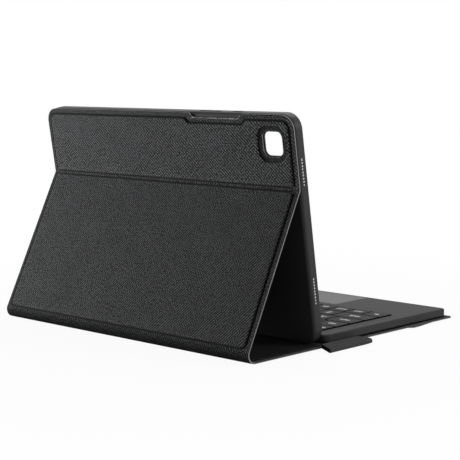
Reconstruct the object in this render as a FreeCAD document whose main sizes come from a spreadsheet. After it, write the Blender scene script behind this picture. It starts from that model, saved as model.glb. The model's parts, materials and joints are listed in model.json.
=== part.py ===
"""Tablet keyboard case: a fabric folio that stands a moulded tray behind a detachable keyboard.

Frame: millimetres, +Z up. The origin is the centre of the base flap's underside, which lies on the desk.
The user sits at -Y, so the stand is at +Y, and +X is the user's right hand.
"""
import FreeCAD
import Part
import math
import os

import Sketcher

SIZES = {
    # Folio cover: three stiffened panels and a soft spine
    "cover_margin": 0.3,
    "cover_corner": 10.0,
    "base_corner": 3.0,
    "base_board_corner": 2.0,
    "fabric_thick": 0.6,
    "board_thick": 0.9,
    "lining_thick": 0.4,
    "board_inset": 4.0,
    "board_fit": 0.1,
    "kick_drop": 3.1,
    "kick_corner": 0.6,
    "kick_foot_rim": 0.8,
    "kick_board_corner": 4.0,
    "top_height": 50.8,
    "fold_web": 1.5,
    "fold_gap": 0.25,
    "spine_radius": 6.4,
    "spine_inset": 0.2,
    "spine_gap": 0.3,
    "tray_lean": 9.5,
    "stand_gap": 0.3,
    "tray_gap": 3.137,
    # Cut-outs of the top panel
    "notch_place": 71.0,
    "notch_width": 50.0,
    "notch_depth": 3.3,
    "notch_slope": 3.6,
    "lens_strip": 3.4,
    "lens_strip_side": 3.55,
    "lens_ring": 3.6,
    "lens_width": 17.5,
    "lens_height": 18.0,
    "lens_corner": 5.0,
    # Lift tab and pen loop on the base's left edge
    "tab_reach": 3.0,
    "tab_front": 27.0,
    "tab_taper": 22.0,
    "tab_flat": 7.0,
    "tab_rise": 4.0,
    "loop_reach": 15.5,
    "loop_start": 59.5,
    "loop_length": 50.5,
    "loop_height": 3.2,
    "loop_wall": 0.7,
    "loop_round": 1.4,
    "loop_tail": 3.4,
    # Tray that holds the device
    "bond_thick": 0.4,
    "bond_inset": 6.0,
    "tray_overlap": 0.3,
    "device_width": 247.6,
    "device_height": 157.4,
    "device_thick": 7.0,
    "device_corner": 9.0,
    "device_fit": 0.3,
    "tray_wall": 1.6,
    "tray_back": 1.0,
    "tray_lip": 0.8,
    "lip_overhang": 1.8,
    "tray_back_round": 2.4,
    "tray_front_bevel": 1.2,
    "lens_step": 0.8,
    "button_slot": 2.4,
    "volume_place": 76.9,
    "volume_length": 22.2,
    "power_place": 51.35,
    "power_length": 10.3,
    "mic_offset": 18.6,
    "mic_width": 1.4,
    "port_length": 13.0,
    "port_height": 5.2,
    "speaker_hole": 1.3,
    "speaker_pitch": 2.15,
    "speaker_first": 31.0,
    "speaker_second": 114.0,
    "foot_plate_thick": 0.5,
    "foot_plate_depth": 5.0,
    "foot_plate_length": 200.0,
    # Keyboard slab
    "kb_side_step": 1.9,
    "kb_corner": 6.0,
    "kb_front_corner": 2.4,
    "kb_front_margin": 6.7,
    "kb_rear_margin": 8.9,
    "deck_wall": 1.4,
    "deck_top": 1.2,
    "deck_chamfer": 0.7,
    "bottom_thick": 0.8,
    "bottom_fit": 0.15,
    "kb_foot_thick": 0.6,
    "kb_foot_length": 24.0,
    "kb_foot_depth": 5.0,
    "kb_foot_inset": 12.0,
    # Keys
    "key_side_margin": 11.8,
    "row_pitch": 17.4,
    "key_gap": 1.2,
    "well_margin": 0.6,
    "well_corner": 1.0,
    "key_thick": 2.05,
    "key_rise": 0.9,
    "key_corner": 0.7,
    "key_travel": 1.2,
    "key_floor_gap": 0.05,
    "stem_side": 4.0,
    "stem_fit": 0.2,
    "stem_engage": 0.25,
    "guide_thick": 0.5,
    "guide_margin": 3.0,
    "membrane_thick": 0.55,
    # Touchpad and electronics
    "pad_width": 100.0,
    "pad_depth": 41.8,
    "pad_front": 1.7,
    "pad_rear": 9.2,
    "pad_thick": 1.0,
    "pad_gap": 0.3,
    "pad_corner": 2.0,
    "pad_sink": 0.1,
    "pad_board_thick": 0.8,
    "pad_board_inset": 3.0,
    "click_gap": 0.45,
    "click_side": 6.0,
    "battery_margin": 9.8,
    "battery_depth": 36.0,
    "battery_thick": 2.6,
    "module_gap": 6.0,
    "circuit_margin": 15.8,
    "circuit_depth": 32.0,
    "circuit_thick": 1.0,
    "socket_width": 9.0,
    "socket_height": 3.2,
    "socket_depth": 7.3,
    "socket_shell": 0.35,
    "socket_tongue": 0.7,
    "socket_fit": 0.1,
    "socket_room": 0.1,
    "socket_gap": 1.0,
    "slider_place": 42.0,
    "slider_width": 3.2,
    "slider_height": 1.8,
    "slider_reach": 0.5,
    "slider_travel": 2.5,
    "slider_fit": 0.3,
    "slider_shoe": 0.8,
    "light_diameter": 1.4,
    "light_pitch": 6.0,
    "light_inset": 33.8,
    "light_fit": 0.1,
    "screw_head": 3.0,
    "screw_head_thick": 0.5,
    "screw_shank": 1.2,
    "screw_length": 2.6,
    "boss_diameter": 4.2,
    "boss_inset": 5.5,
    "magnet_length": 5.0,
    "magnet_depth": 14.0,
    "magnet_thick": 1.5,
    "magnet_inset": 6.8,
    "magnet_front": 15.5,
    "magnet_rear": 24.0,
    "plate_margin": 1.0,
    "stand_magnet_length": 40.0,
    "stand_magnet_depth": 8.0,
}

ROW_KEYS = (
    # Widths in key pitches, from the user's left, front row first
    (("fn_key", 1.1), ("modifier_keys", 1, 1, 1), ("space_bar", 4.9), ("modifier_keys", 1, 1),
     ("left_arrow_key", 1), ("down_arrow_key", 1), ("right_arrow_key", 1)),
    (("left_shift_key", 2), ("bottom_letter_keys", 1, 1, 1, 1, 1, 1, 1, 1, 1, 1), ("up_arrow_key", 1),
     ("right_shift_key", 1)),
    (("caps_lock_key", 1.5), ("home_letter_keys", 1, 1, 1, 1, 1, 1, 1, 1, 1, 1, 1), ("enter_key", 1.5)),
    (("tab_key", 1.25), ("top_letter_keys", 1, 1, 1, 1, 1, 1, 1, 1, 1, 1, 1, 1), ("backslash_key", 0.75)),
    (("escape_key", 0.75), ("number_keys", 1, 1, 1, 1, 1, 1, 1, 1, 1, 1, 1, 1), ("backspace_key", 1.25)),
)
KEYS_ACROSS = 14
STATUS_LIGHTS = 3
SPEAKER_HOLES = 9
SPINE_STRIPS = ("spine_lower", "spine_middle", "spine_upper")
# Slot ends are rounded nearly to a half circle, which leaves the sketch a short straight end
SLOT_ROUND = 0.48
# What a regular octagon leaves off each corner of its square
OCTAGON_CUT = 1 - math.sqrt(0.5)

doc = FreeCAD.newDocument("keyboard_case")
sheet = doc.addObject("Spreadsheet::Sheet", "Sizes")
for line, (alias, number) in enumerate(SIZES.items(), start=1):
    sheet.set(f"A{line}", alias)
    sheet.set(f"B{line}", str(number))
    sheet.setAlias(f"B{line}", alias)
doc.recompute()

subparts = []


class Size:
    """A length that knows its value now and the sheet expression that gives it."""

    def __init__(self, value, text):
        self.value = value
        self.text = text

    def __add__(self, other):
        other = as_size(other)
        return Size(self.value + other.value, f"({self.text} + {other.text})")

    def __sub__(self, other):
        other = as_size(other)
        return Size(self.value - other.value, f"({self.text} - {other.text})")

    def __mul__(self, factor):
        factor = as_size(factor)
        return Size(self.value * factor.value, f"({self.text} * {factor.text})")

    def __truediv__(self, divisor):
        divisor = as_size(divisor)
        return Size(self.value / divisor.value, f"({self.text} / {divisor.text})")

    def __neg__(self):
        return Size(-self.value, f"(0 - {self.text})")

    def __radd__(self, other):
        return as_size(other) + self

    def __rsub__(self, other):
        return as_size(other) - self

    def __rmul__(self, other):
        return as_size(other) * self


def as_size(thing):
    """A plain number becomes a Size, and a Size stays as it is."""
    if isinstance(thing, Size):
        return thing
    return Size(float(thing), f"({thing})")


def cell(alias):
    """The sheet's cell of that name."""
    return Size(SIZES[alias], "Sizes." + alias)


def bind(thing, prop, size):
    """Tie one property to the sheet."""
    thing.setExpression(prop, as_size(size).text)


def new_body(label, placement=None):
    """An empty body; its features are laid out in its own frame."""
    body = doc.addObject("PartDesign::Body", label)
    body.Label = label
    if placement is not None:
        body.Placement = placement
    return body


def origin_feature(body, role):
    """The body's own plane or axis of that role."""
    for feature in body.Origin.OriginFeatures:
        if feature.Role == role:
            return feature
    raise ValueError(role)


def round_corner(before, corner, after, radius):
    """Where a corner's arc starts and ends, and its geometry."""
    back = (before - corner).normalize()
    ahead = (after - corner).normalize()
    half = back.getAngle(ahead) / 2
    start = corner + back * (radius / math.tan(half))
    end = corner + ahead * (radius / math.tan(half))
    middle_way = (back + ahead).normalize()
    centre = corner + middle_way * (radius / math.sin(half))
    turns_left = (-back).cross(ahead).z > 0
    first, last = (start, end) if turns_left else (end, start)
    circle = Part.Circle(centre, FreeCAD.Vector(0, 0, 1), radius)
    arc = Part.ArcOfCircle(circle, circle.parameter(first), circle.parameter(last))
    return start, end, arc, turns_left


def add_outline(sketch, corners):
    """A closed outline through corners (x, y, radius); a radius of None leaves the corner sharp."""
    places = [FreeCAD.Vector(as_size(x).value, as_size(y).value, 0) for x, y, _ in corners]
    count = len(corners)
    starts, ends, arcs, lefts = [], [], [], []
    for index, (_, _, radius) in enumerate(corners):
        corner = places[index]
        if radius is None:
            start, end, arc, left = corner, corner, None, True
        else:
            start, end, arc, left = round_corner(
                places[index - 1], corner, places[(index + 1) % count], as_size(radius).value)
        starts.append(start)
        ends.append(end)
        arcs.append(arc)
        lefts.append(left)
    points = [sketch.addGeometry(Part.Point(place), True) for place in places]
    lines = [sketch.addGeometry(Part.LineSegment(ends[i], starts[(i + 1) % count]), False)
             for i in range(count)]
    for index, (x, y, radius) in enumerate(corners):
        point = points[index]
        for kind, size in (("DistanceX", x), ("DistanceY", y)):
            rule = sketch.addConstraint(Sketcher.Constraint(kind, -1, 1, point, 1, as_size(size).value))
            bind(sketch, f"Constraints[{rule}]", size)
        before, after = lines[index - 1], lines[index]
        if radius is None:
            sketch.addConstraint(Sketcher.Constraint("Coincident", before, 2, point, 1))
            sketch.addConstraint(Sketcher.Constraint("Coincident", after, 1, point, 1))
            continue
        arc = sketch.addGeometry(arcs[index], False)
        arc_start, arc_end = (1, 2) if lefts[index] else (2, 1)
        sketch.addConstraint(Sketcher.Constraint("PointOnObject", point, 1, before))
        sketch.addConstraint(Sketcher.Constraint("PointOnObject", point, 1, after))
        sketch.addConstraint(Sketcher.Constraint("Tangent", before, 2, arc, arc_start))
        sketch.addConstraint(Sketcher.Constraint("Tangent", after, 1, arc, arc_end))
        rule = sketch.addConstraint(Sketcher.Constraint("Radius", arc, as_size(radius).value))
        bind(sketch, f"Constraints[{rule}]", radius)


def add_circle(sketch, x, y, diameter):
    """A circle round the centre (x, y)."""
    middle = FreeCAD.Vector(as_size(x).value, as_size(y).value, 0)
    circle = sketch.addGeometry(
        Part.Circle(middle, FreeCAD.Vector(0, 0, 1), as_size(diameter).value / 2), False)
    for kind, size in (("DistanceX", x), ("DistanceY", y)):
        rule = sketch.addConstraint(Sketcher.Constraint(kind, -1, 1, circle, 3, as_size(size).value))
        bind(sketch, f"Constraints[{rule}]", size)
    rule = sketch.addConstraint(Sketcher.Constraint("Diameter", circle, as_size(diameter).value))
    bind(sketch, f"Constraints[{rule}]", diameter)


def new_sketch(body, name, level, role="XY_Plane"):
    """A sketch parallel to one of the body's origin planes, lifted off it by level."""
    sketch = body.newObject("Sketcher::SketchObject", name)
    sketch.AttachmentSupport = [(origin_feature(body, role), "")]
    sketch.MapMode = "FlatFace"
    bind(sketch, "AttachmentOffset.Base.z", level)
    return sketch


def rectangle(x, y, width, depth, radius=None):
    """Corners of a rectangle round the centre (x, y), anticlockwise."""
    x, y, width, depth = (as_size(value) for value in (x, y, width, depth))
    return [(x - width / 2, y - depth / 2, radius), (x + width / 2, y - depth / 2, radius),
            (x + width / 2, y + depth / 2, radius), (x - width / 2, y + depth / 2, radius)]


def cut_rectangle(x, y, width, depth, cut):
    """Corners of a rectangle whose own corners are cut off straight."""
    x, y, width, depth = (as_size(value) for value in (x, y, width, depth))
    left, right = x - width / 2, x + width / 2
    low, high = y - depth / 2, y + depth / 2
    return [(left + cut, low, None), (right - cut, low, None),
            (right, low + cut, None), (right, high - cut, None),
            (right - cut, high, None), (left + cut, high, None),
            (left, high - cut, None), (left, low + cut, None)]


def octagon(x, y, across):
    """Small round features are drawn eight-sided, to keep the model light."""
    return cut_rectangle(x, y, across, across, across * OCTAGON_CUT)


def pad(body, name, shape, low, height, role="XY_Plane"):
    """Add material over an outline or a circle, from low upwards."""
    sketch = new_sketch(body, name + "_sketch", low, role)
    draw(sketch, shape)
    feature = body.newObject("PartDesign::Pad", name)
    feature.Profile = sketch
    bind(feature, "Length", height)
    return feature


def pocket(body, name, shape, low, height, role="XY_Plane"):
    """Cut an outline or a circle out of the body, from low upwards."""
    sketch = new_sketch(body, name + "_sketch", as_size(low) + height, role)
    draw(sketch, shape)
    feature = body.newObject("PartDesign::Pocket", name)
    feature.Profile = sketch
    bind(feature, "Length", height)
    return feature


def draw(sketch, shape):
    """Draw a circle (x, y, diameter), an outline (a list of corners) or a list of outlines."""
    if isinstance(shape, tuple):
        add_circle(sketch, *shape)
        return
    if isinstance(shape[0], list):
        for piece in shape:
            draw(sketch, piece)
        return
    add_outline(sketch, shape)


def repeat(body, name, axis, length, count, feature=None):
    """Copy a feature, or else the whole body, along a straight line: count copies over length."""
    doc.recompute()
    pattern = body.newObject("PartDesign::LinearPattern", name)
    if feature is None:
        pattern.TransformMode = "Whole shape"
    else:
        pattern.Originals = [feature]
    pattern.Direction = (origin_feature(body, axis), [""])
    bind(pattern, "Length", length)
    pattern.Occurrences = count
    body.Tip = pattern
    return pattern


def soften(body, name, kind, feature, wanted, size):
    """Round or bevel the edges of a feature that the test picks."""
    doc.recompute()
    edges = [f"Edge{number}" for number, edge in enumerate(feature.Shape.Edges, start=1) if wanted(edge)]
    if not edges:
        raise ValueError(f"{body.Label}: {name} found no edge")
    dressing = body.newObject(f"PartDesign::{kind}", name)
    dressing.Base = (feature, edges)
    bind(dressing, "Radius" if kind == "Fillet" else "Size", size)
    return dressing


def lies_at(edge, height):
    """Whether an edge lies wholly at that height of the body's own frame."""
    box = edge.BoundBox
    return abs(box.ZMin - height) < 1e-4 and abs(box.ZMax - height) < 1e-4


def keep(part):
    """Note a finished sub-part, to be tested and written at the end."""
    subparts.append(part)
    return part


def block(label, x, y, z, length, depth, height):
    """A plain block whose corner of least x, y and z is given."""
    part = doc.addObject("Part::Box", label)
    part.Label = label
    for prop, size in (("Length", length), ("Width", depth), ("Height", height)):
        bind(part, prop, size)
    for direction, size in (("x", x), ("y", y), ("z", z)):
        bind(part, f"Placement.Base.{direction}", size)
    return part


def group(label, parts):
    """Several separate solids that make one sub-part."""
    compound = doc.addObject("Part::Compound", label)
    compound.Label = label
    compound.Links = parts
    return keep(compound)


# Sizes used by more than one sub-part: the tray follows from the device, the cover and the keyboard
# from the tray
fabric = cell("fabric_thick")
board = cell("board_thick")
lining = cell("lining_thick")
inset = cell("board_inset")
corner = cell("cover_corner")
rim = fabric + lining
base_top = rim + board
tray_depth = cell("device_thick") + cell("device_fit") + cell("tray_back") + cell("tray_lip")
tray_width = cell("device_width") + (cell("device_fit") + cell("tray_wall")) * 2
tray_height = cell("device_height") + (cell("device_fit") + cell("tray_wall")) * 2
tray_face = rim + cell("bond_thick")
width = tray_width + cell("cover_margin") * 2
top_height = cell("top_height")
heel_below_fold = tray_height - cell("tray_overlap") - top_height
kick_height = heel_below_fold + cell("kick_drop")
fold_bead = rim
fold_clear = fold_bead / 2 + cell("fold_gap")
kb_width = tray_width - cell("kb_side_step") * 2
palm_depth = cell("pad_front") + cell("pad_depth") + cell("pad_rear")
field_width = kb_width - cell("key_side_margin") * 2
field_depth = cell("row_pitch") * len(ROW_KEYS)
key_pitch = field_width / KEYS_ACROSS
kb_depth = palm_depth + field_depth + cell("kb_rear_margin")


# How the case stands: the tray leans back, its heel just above the base, and the kickstand closes
# the triangle

def stand_angles():
    """Turn of the spine from the base to the kickstand, in degrees."""
    lean = math.radians(SIZES["tray_lean"])
    axis_depth = rim.value / 2
    heel_behind_axis = tray_face.value - axis_depth
    heel_height = base_top.value + SIZES["stand_gap"]
    axis_height = heel_height + heel_below_fold.value * math.cos(lean) - heel_behind_axis * math.sin(lean)
    radius = SIZES["spine_radius"]
    reach = kick_height.value
    # The fold axis stands at radius (1 - cos turn) + reach sin turn, less its depth under the rim's face
    inner = radius - axis_depth
    ratio = (axis_height - radius) / math.hypot(reach, inner)
    return math.degrees(math.pi - math.asin(ratio) + math.atan2(inner, reach))


RIGHT_ANGLE = 90
spine_turn = stand_angles()
fold_turn = spine_turn - RIGHT_ANGLE + SIZES["tray_lean"]
across = FreeCAD.Vector(1, 0, 0)
kick_rotation = FreeCAD.Rotation(across, spine_turn - RIGHT_ANGLE * 2)
top_rotation = FreeCAD.Rotation(across, -RIGHT_ANGLE - SIZES["tray_lean"])
spine_radius = SIZES["spine_radius"]


def spine_point(degrees):
    """A point on the spine's outer face, from the line where the base starts to bend."""
    turn = math.radians(degrees)
    return FreeCAD.Vector(0, spine_radius * math.sin(turn), spine_radius * (1 - math.cos(turn)))


# From the base's rear line: the fold's axis, and how far in front of that line the tray's foot reaches
fold_from_heel = spine_point(spine_turn) - kick_rotation.multVec(
    FreeCAD.Vector(0, kick_height.value, rim.value / 2))
toe_from_heel = fold_from_heel + top_rotation.multVec(
    FreeCAD.Vector(0, heel_below_fold.value, rim.value / 2 - tray_face.value - tray_depth.value))
base_depth = cell("kb_front_margin") + kb_depth + cell("tray_gap") + as_size(-toe_from_heel.y)
heel_line = FreeCAD.Vector(0, base_depth.value / 2, 0)
fold_axis = heel_line + fold_from_heel

# Each panel's own frame: x across, y down the panel, z out of its fabric face
kick_place = FreeCAD.Placement(
    fold_axis + kick_rotation.multVec(FreeCAD.Vector(0, 0, rim.value / 2)), kick_rotation)
top_place = FreeCAD.Placement(
    fold_axis + top_rotation.multVec(FreeCAD.Vector(0, -top_height.value, rim.value / 2)), top_rotation)


# Base flap: fabric underneath, board, lining on top

def base_outline(margin, rounding, tab):
    """Outline of the base, drawn in by margin, with or without the lift tab on its left edge."""
    side = width / 2 - margin
    front = margin - base_depth / 2
    rear = base_depth / 2 - margin
    # The cut edge runs on into the spine, so it is square behind
    rear_round = None if tab else rounding
    corners = [(-side, front, rounding), (side, front, rounding),
               (side, rear, rear_round), (-side, rear, rear_round)]
    if tab:
        out = -side - cell("tab_reach")
        start = front + cell("tab_front")
        full = start + cell("tab_taper")
        drop = full + cell("tab_flat")
        corners += [(-side, drop + cell("tab_rise"), None), (out, drop, None), (out, full, None),
                    (-side, start, None)]
    return corners


def base_cut_edge():
    return base_outline(as_size(0), cell("base_corner"), tab=True)


def base_raised(shrink):
    """The raised field over the base's board, drawn in by shrink."""
    return base_outline(inset + shrink, cell("base_board_corner") - shrink, tab=False)


def make_base():
    fabric_body = new_body("base_fabric")
    pad(fabric_body, "sheet", base_cut_edge(), 0, fabric)
    keep(fabric_body)

    lining_body = new_body("base_lining")
    pad(lining_body, "sheet", base_cut_edge(), fabric, lining)
    pad(lining_body, "raised", base_raised(as_size(0)), fabric, board + lining)
    pocket(lining_body, "board_space", base_raised(lining), fabric, board)
    keep(lining_body)

    board_body = new_body("base_board")
    pad(board_body, "plate", base_raised(lining + cell("board_fit")), fabric, board)
    for name, places, length, depth in insert_sets():
        for number, (x, y) in enumerate(places):
            hole = rectangle(x, y, length + cell("board_fit") * 2, depth + cell("board_fit") * 2)
            pocket(board_body, f"{name}_seat_{number}", hole, fabric, board)
    keep(board_body)

    for name, places, length, depth in insert_sets():
        pieces = [block(f"{name}_{number}", x - length / 2, y - depth / 2, fabric, length, depth, board)
                  for number, (x, y) in enumerate(places)]
        group(name, pieces)


def insert_sets():
    """Steel plates under the keyboard's magnets, and magnets under the tray's heel."""
    plate_length = cell("magnet_length") + cell("plate_margin") * 2
    plate_depth = cell("magnet_depth") + cell("plate_margin") * 2
    heel_y = as_size(heel_centre())
    stand_side = width / 2 - inset * 3 - cell("stand_magnet_length") / 2
    return (("keyboard_plates", magnet_places(), plate_length, plate_depth),
            ("stand_magnets", [(-stand_side, heel_y), (stand_side, heel_y)],
             cell("stand_magnet_length"), cell("stand_magnet_depth")))


def heel_centre():
    """Where the middle of the tray's foot stands on the base."""
    foot = top_place.multVec(FreeCAD.Vector(
        0, tray_height.value - SIZES["tray_overlap"], -tray_face.value - tray_depth.value / 2))
    return foot.y


# Kickstand and top panel: lining inside, board, fabric embossed over the board

def kick_sheet():
    """Cut edge of the kickstand: square at the fold, rounded at its foot."""
    side = width / 2
    head = fold_bead / 2
    foot = kick_height - cell("spine_gap") / 2
    foot_round = cell("kick_corner")
    return [(-side, head, None), (side, head, None), (side, foot, foot_round), (-side, foot, foot_round)]


def kick_raised(shrink):
    """The raised field over the kickstand's board, drawn in by shrink."""
    side = width / 2 - inset - shrink
    head = cell("fold_web") + shrink
    foot = kick_height - cell("kick_foot_rim") - shrink
    foot_round = cell("kick_board_corner") - shrink
    return [(-side, head, None), (side, head, None), (side, foot, foot_round), (-side, foot, foot_round)]


def make_kickstand():
    fabric_body = new_body("kickstand_fabric", kick_place)
    pad(fabric_body, "sheet", kick_sheet(), -fabric, fabric)
    pad(fabric_body, "raised", kick_raised(0), -fabric, fabric + board)
    pocket(fabric_body, "board_space", kick_raised(fabric), -fabric, board)
    keep(fabric_body)

    board_body = new_body("kickstand_board", kick_place)
    pad(board_body, "plate", kick_raised(fabric + cell("board_fit")), -fabric, board)
    keep(board_body)

    lining_body = new_body("kickstand_lining", kick_place)
    pad(lining_body, "sheet", kick_sheet(), -rim, lining)
    keep(lining_body)

    # The fabric web at the fold, drawn as the round bead that both panels turn about
    web = doc.addObject("Part::Cylinder", "fold_web")
    web.Label = "fold_web"
    bind(web, "Radius", fold_bead / 2)
    bind(web, "Height", width)
    sideways = FreeCAD.Rotation(FreeCAD.Vector(0, 1, 0), RIGHT_ANGLE)
    web.Placement = FreeCAD.Placement(fold_axis - across * (width.value / 2), sideways)
    keep(web)


def top_outline(margin, web):
    """Outline of the top panel, with the trapezoid notch over the buttons."""
    side = width / 2 - margin
    top_round = corner - margin
    low = top_height - web
    slope = cell("notch_slope")
    middle = cell("notch_place") - width / 2
    left = middle + cell("notch_width") / 2 + margin
    right = middle - cell("notch_width") / 2 - margin
    drop = margin + cell("notch_depth")
    return [(side, low, None), (side, margin, top_round), (left, margin, None), (left - slope, drop, None),
            (right + slope, drop, None), (right, margin, None), (-side, margin, top_round), (-side, low, None)]


def lens_outline(margin):
    """The lens window in the panel's upper corner, grown by margin."""
    ring = cell("lens_ring")
    x = inset + cell("lens_strip_side") + ring + cell("lens_width") / 2 - width / 2
    y = inset + cell("lens_strip") + ring + cell("lens_height") / 2
    grown = as_size(margin) * 2
    return rectangle(x, y, cell("lens_width") + grown, cell("lens_height") + grown,
                     cell("lens_corner") + margin)


def top_raised(shrink):
    """The raised field over the top panel's board, drawn in by shrink, with the ring round the lens."""
    shrink = as_size(shrink)
    return [top_outline(inset + shrink, cell("fold_web") + shrink),
            lens_outline(cell("lens_ring") + shrink)]


def make_top_panel():
    sheet_outline = [top_outline(as_size(0), fold_clear), lens_outline(0)]
    fabric_body = new_body("top_panel_fabric", top_place)
    pad(fabric_body, "sheet", sheet_outline, -fabric, fabric)
    pad(fabric_body, "raised", top_raised(0), 0, board)
    pocket(fabric_body, "board_space", top_raised(fabric), -fabric, board)
    keep(fabric_body)

    board_body = new_body("top_panel_board", top_place)
    pad(board_body, "plate", top_raised(fabric + cell("board_fit")), -fabric, board)
    keep(board_body)

    lining_body = new_body("top_panel_lining", top_place)
    pad(lining_body, "sheet", sheet_outline, -rim, lining)
    keep(lining_body)

    bond_body = new_body("tray_bond", top_place)
    away = cell("bond_inset")
    pad(bond_body, "sheet", [top_outline(away, away), lens_outline(cell("lens_ring"))], -tray_face,
        cell("bond_thick"))
    keep(bond_body)


# Spine: the soft bend, in strips that turn about the lines where they meet on the outer face

def make_spine():
    step = spine_turn / len(SPINE_STRIPS)
    slit = math.degrees(SIZES["spine_gap"] / spine_radius)
    centre = heel_line + FreeCAD.Vector(0, 0, spine_radius)
    length = width - cell("spine_inset") * 2
    for number, label in enumerate(SPINE_STRIPS):
        outer = doc.addObject("Part::Cylinder", label + "_outer")
        inner = doc.addObject("Part::Cylinder", label + "_inner")
        bind(outer, "Radius", cell("spine_radius"))
        bind(inner, "Radius", cell("spine_radius") - rim)
        for cylinder in (outer, inner):
            bind(cylinder, "Height", length)
            cylinder.Angle = step - slit
        strip = doc.addObject("Part::Cut", label)
        strip.Label = label
        strip.Base = outer
        strip.Tool = inner
        # The cylinders' axis goes along x, and their first radius points from the bend's centre to the desk
        along = FreeCAD.Rotation(FreeCAD.Vector(0, 1, 0), RIGHT_ANGLE)
        start = FreeCAD.Rotation(across, number * step + slit / 2)
        strip.Placement = FreeCAD.Placement(centre - across * (length.value / 2), start.multiply(along))
        keep(strip)


def make_pen_loop():
    """A flattened sleeve beside the base, sewn down by a tail on its rim."""
    body = new_body("pen_loop")
    reach = cell("loop_reach")
    height = cell("loop_height")
    wall = cell("loop_wall")
    middle = -width / 2 - reach / 2
    rear = base_depth / 2 - cell("loop_start")
    front = rear - cell("loop_length")
    outer = rectangle(middle, height / 2, reach, height, cell("loop_round"))
    inner = rectangle(middle, height / 2, reach - wall * 2, height - wall * 2, cell("loop_round") - wall)
    # The plane of x and z faces the user, so the sleeve grows from its front end against that direction
    pad(body, "sleeve", [outer, inner], -rear, cell("loop_length"), "XZ_Plane")
    tail = cell("loop_tail")
    root = cell("loop_round")
    pad(body, "tail", rectangle((tail - root) / 2 - width / 2, (rear + front) / 2, tail + root,
                                cell("loop_length")), rim, wall)
    keep(body)


# Tray

def make_tray():
    body = new_body("tray_shell", top_place)
    fit = cell("device_fit")
    front = -tray_face - tray_depth
    middle = tray_height / 2 - cell("tray_overlap")
    outer_round = cell("device_corner") + fit + cell("tray_wall")
    outline = rectangle(0, middle, tray_width, tray_height, outer_round)
    shell = pad(body, "shell", outline, front, tray_depth)
    rear_height = (-tray_face).value
    shell = soften(body, "back_round", "Fillet", shell, lambda edge: lies_at(edge, rear_height),
                   cell("tray_back_round"))
    soften(body, "front_bevel", "Chamfer", shell, lambda edge: lies_at(edge, front.value),
           cell("tray_front_bevel"))
    bay_width = cell("device_width") + fit * 2
    bay_height = cell("device_height") + fit * 2
    bay_low = front + cell("tray_lip")
    pocket(body, "bay", rectangle(0, middle, bay_width, bay_height, cell("device_corner") + fit), bay_low,
           cell("device_thick") + fit)
    overhang = cell("lip_overhang")
    mouth = rectangle(0, middle, bay_width - overhang * 2, bay_height - overhang * 2,
                      cell("device_corner") + fit - overhang)
    pocket(body, "mouth", mouth, front, cell("tray_lip"))
    step = -cell("lens_step")
    pocket(body, "lens_window", lens_outline(step), -tray_face - cell("tray_back"), cell("tray_back"))

    # Openings in the upper wall, cut from above: volume, power and the small sound slit
    mid_depth = front + tray_depth / 2
    wall_reach = cell("tray_wall") + fit
    top_edge = -cell("tray_overlap")
    slot = cell("button_slot")
    volume = cell("volume_place") - cell("device_width") / 2
    power = cell("power_place") - cell("device_width") / 2
    for name, x, length in (("volume_slot", volume, cell("volume_length")),
                            ("power_slot", power, cell("power_length")),
                            ("sound_slit", cell("mic_offset"), cell("mic_width"))):
        # The plane of x and z faces against y, so depths along y are counted backwards
        round_end = slot * SLOT_ROUND if name != "sound_slit" else None
        pocket(body, name, rectangle(x, mid_depth, length, slot, round_end), -top_edge - wall_reach,
               wall_reach + fit, "XZ_Plane")

    # Openings in the side walls: speaker rows on both sides, the charging port on the right
    hole = cell("speaker_hole")
    for name, first in (("upper_speakers", "speaker_first"), ("lower_speakers", "speaker_second")):
        across_both = pocket(body, name, octagon(cell(first), mid_depth, hole), -tray_width / 2 - fit,
                             tray_width + fit * 2, "YZ_Plane")
        repeat(body, name + "_row", "Y_Axis", cell("speaker_pitch") * (SPEAKER_HOLES - 1), SPEAKER_HOLES,
               across_both)
    port = rectangle(middle, mid_depth, cell("port_length"), cell("port_height"),
                     cell("port_height") * SLOT_ROUND)
    pocket(body, "port", port, tray_width / 2 - wall_reach - fit, wall_reach + fit * 2, "YZ_Plane")

    # The steel strip moulded into the lower wall, which the base's magnets hold
    strip_middle = tray_height - cell("tray_overlap") - cell("tray_wall") / 2
    strip = rectangle(0, strip_middle, cell("foot_plate_length"), cell("foot_plate_thick"))
    strip_low = mid_depth - cell("foot_plate_depth") / 2
    pocket(body, "strip_space", strip, strip_low, cell("foot_plate_depth"))
    keep(body)

    plate = new_body("tray_foot_plate", top_place)
    pad(plate, "plate", strip, strip_low, cell("foot_plate_depth"))
    keep(plate)


# Keyboard housing

kb_low = base_top + cell("kb_foot_thick")
floor_top = kb_low + cell("bottom_thick")
deck_under = floor_top + cell("socket_height") + cell("socket_room")
kb_top = deck_under + cell("deck_top")
kb_front = cell("kb_front_margin") - base_depth / 2
kb_middle = kb_front + kb_depth / 2
kb_rear = kb_front + kb_depth
well_spare = cell("well_margin") * 2 - cell("key_gap")
well_front = kb_front + palm_depth
well_middle = well_front + (field_depth + well_spare) / 2
key_top = kb_top + cell("key_rise")
key_under = key_top - cell("key_thick")
guide_top = key_under - cell("key_travel") - cell("key_floor_gap")
guide_low = guide_top - cell("guide_thick")
stem_low = guide_top - cell("stem_engage")
pad_front = kb_front + cell("pad_front")
pad_middle = pad_front + cell("pad_depth") / 2
pad_top = kb_top - cell("pad_sink")
module_side = cell("pad_width") / 2 + cell("module_gap")
wall_right = kb_width / 2
magnet_end = kb_front + cell("magnet_front") + cell("magnet_depth") / 2
socket_middle = magnet_end + cell("socket_gap") + cell("socket_width") / 2
slider_middle = socket_middle + cell("slider_place")
port_level = floor_top + cell("socket_height") / 2


def magnet_places():
    side = kb_width / 2 - cell("magnet_inset")
    front = kb_front + cell("magnet_front")
    rear = kb_rear - cell("magnet_rear")
    return [(-side, front), (side, front), (-side, rear), (side, rear)]


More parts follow.
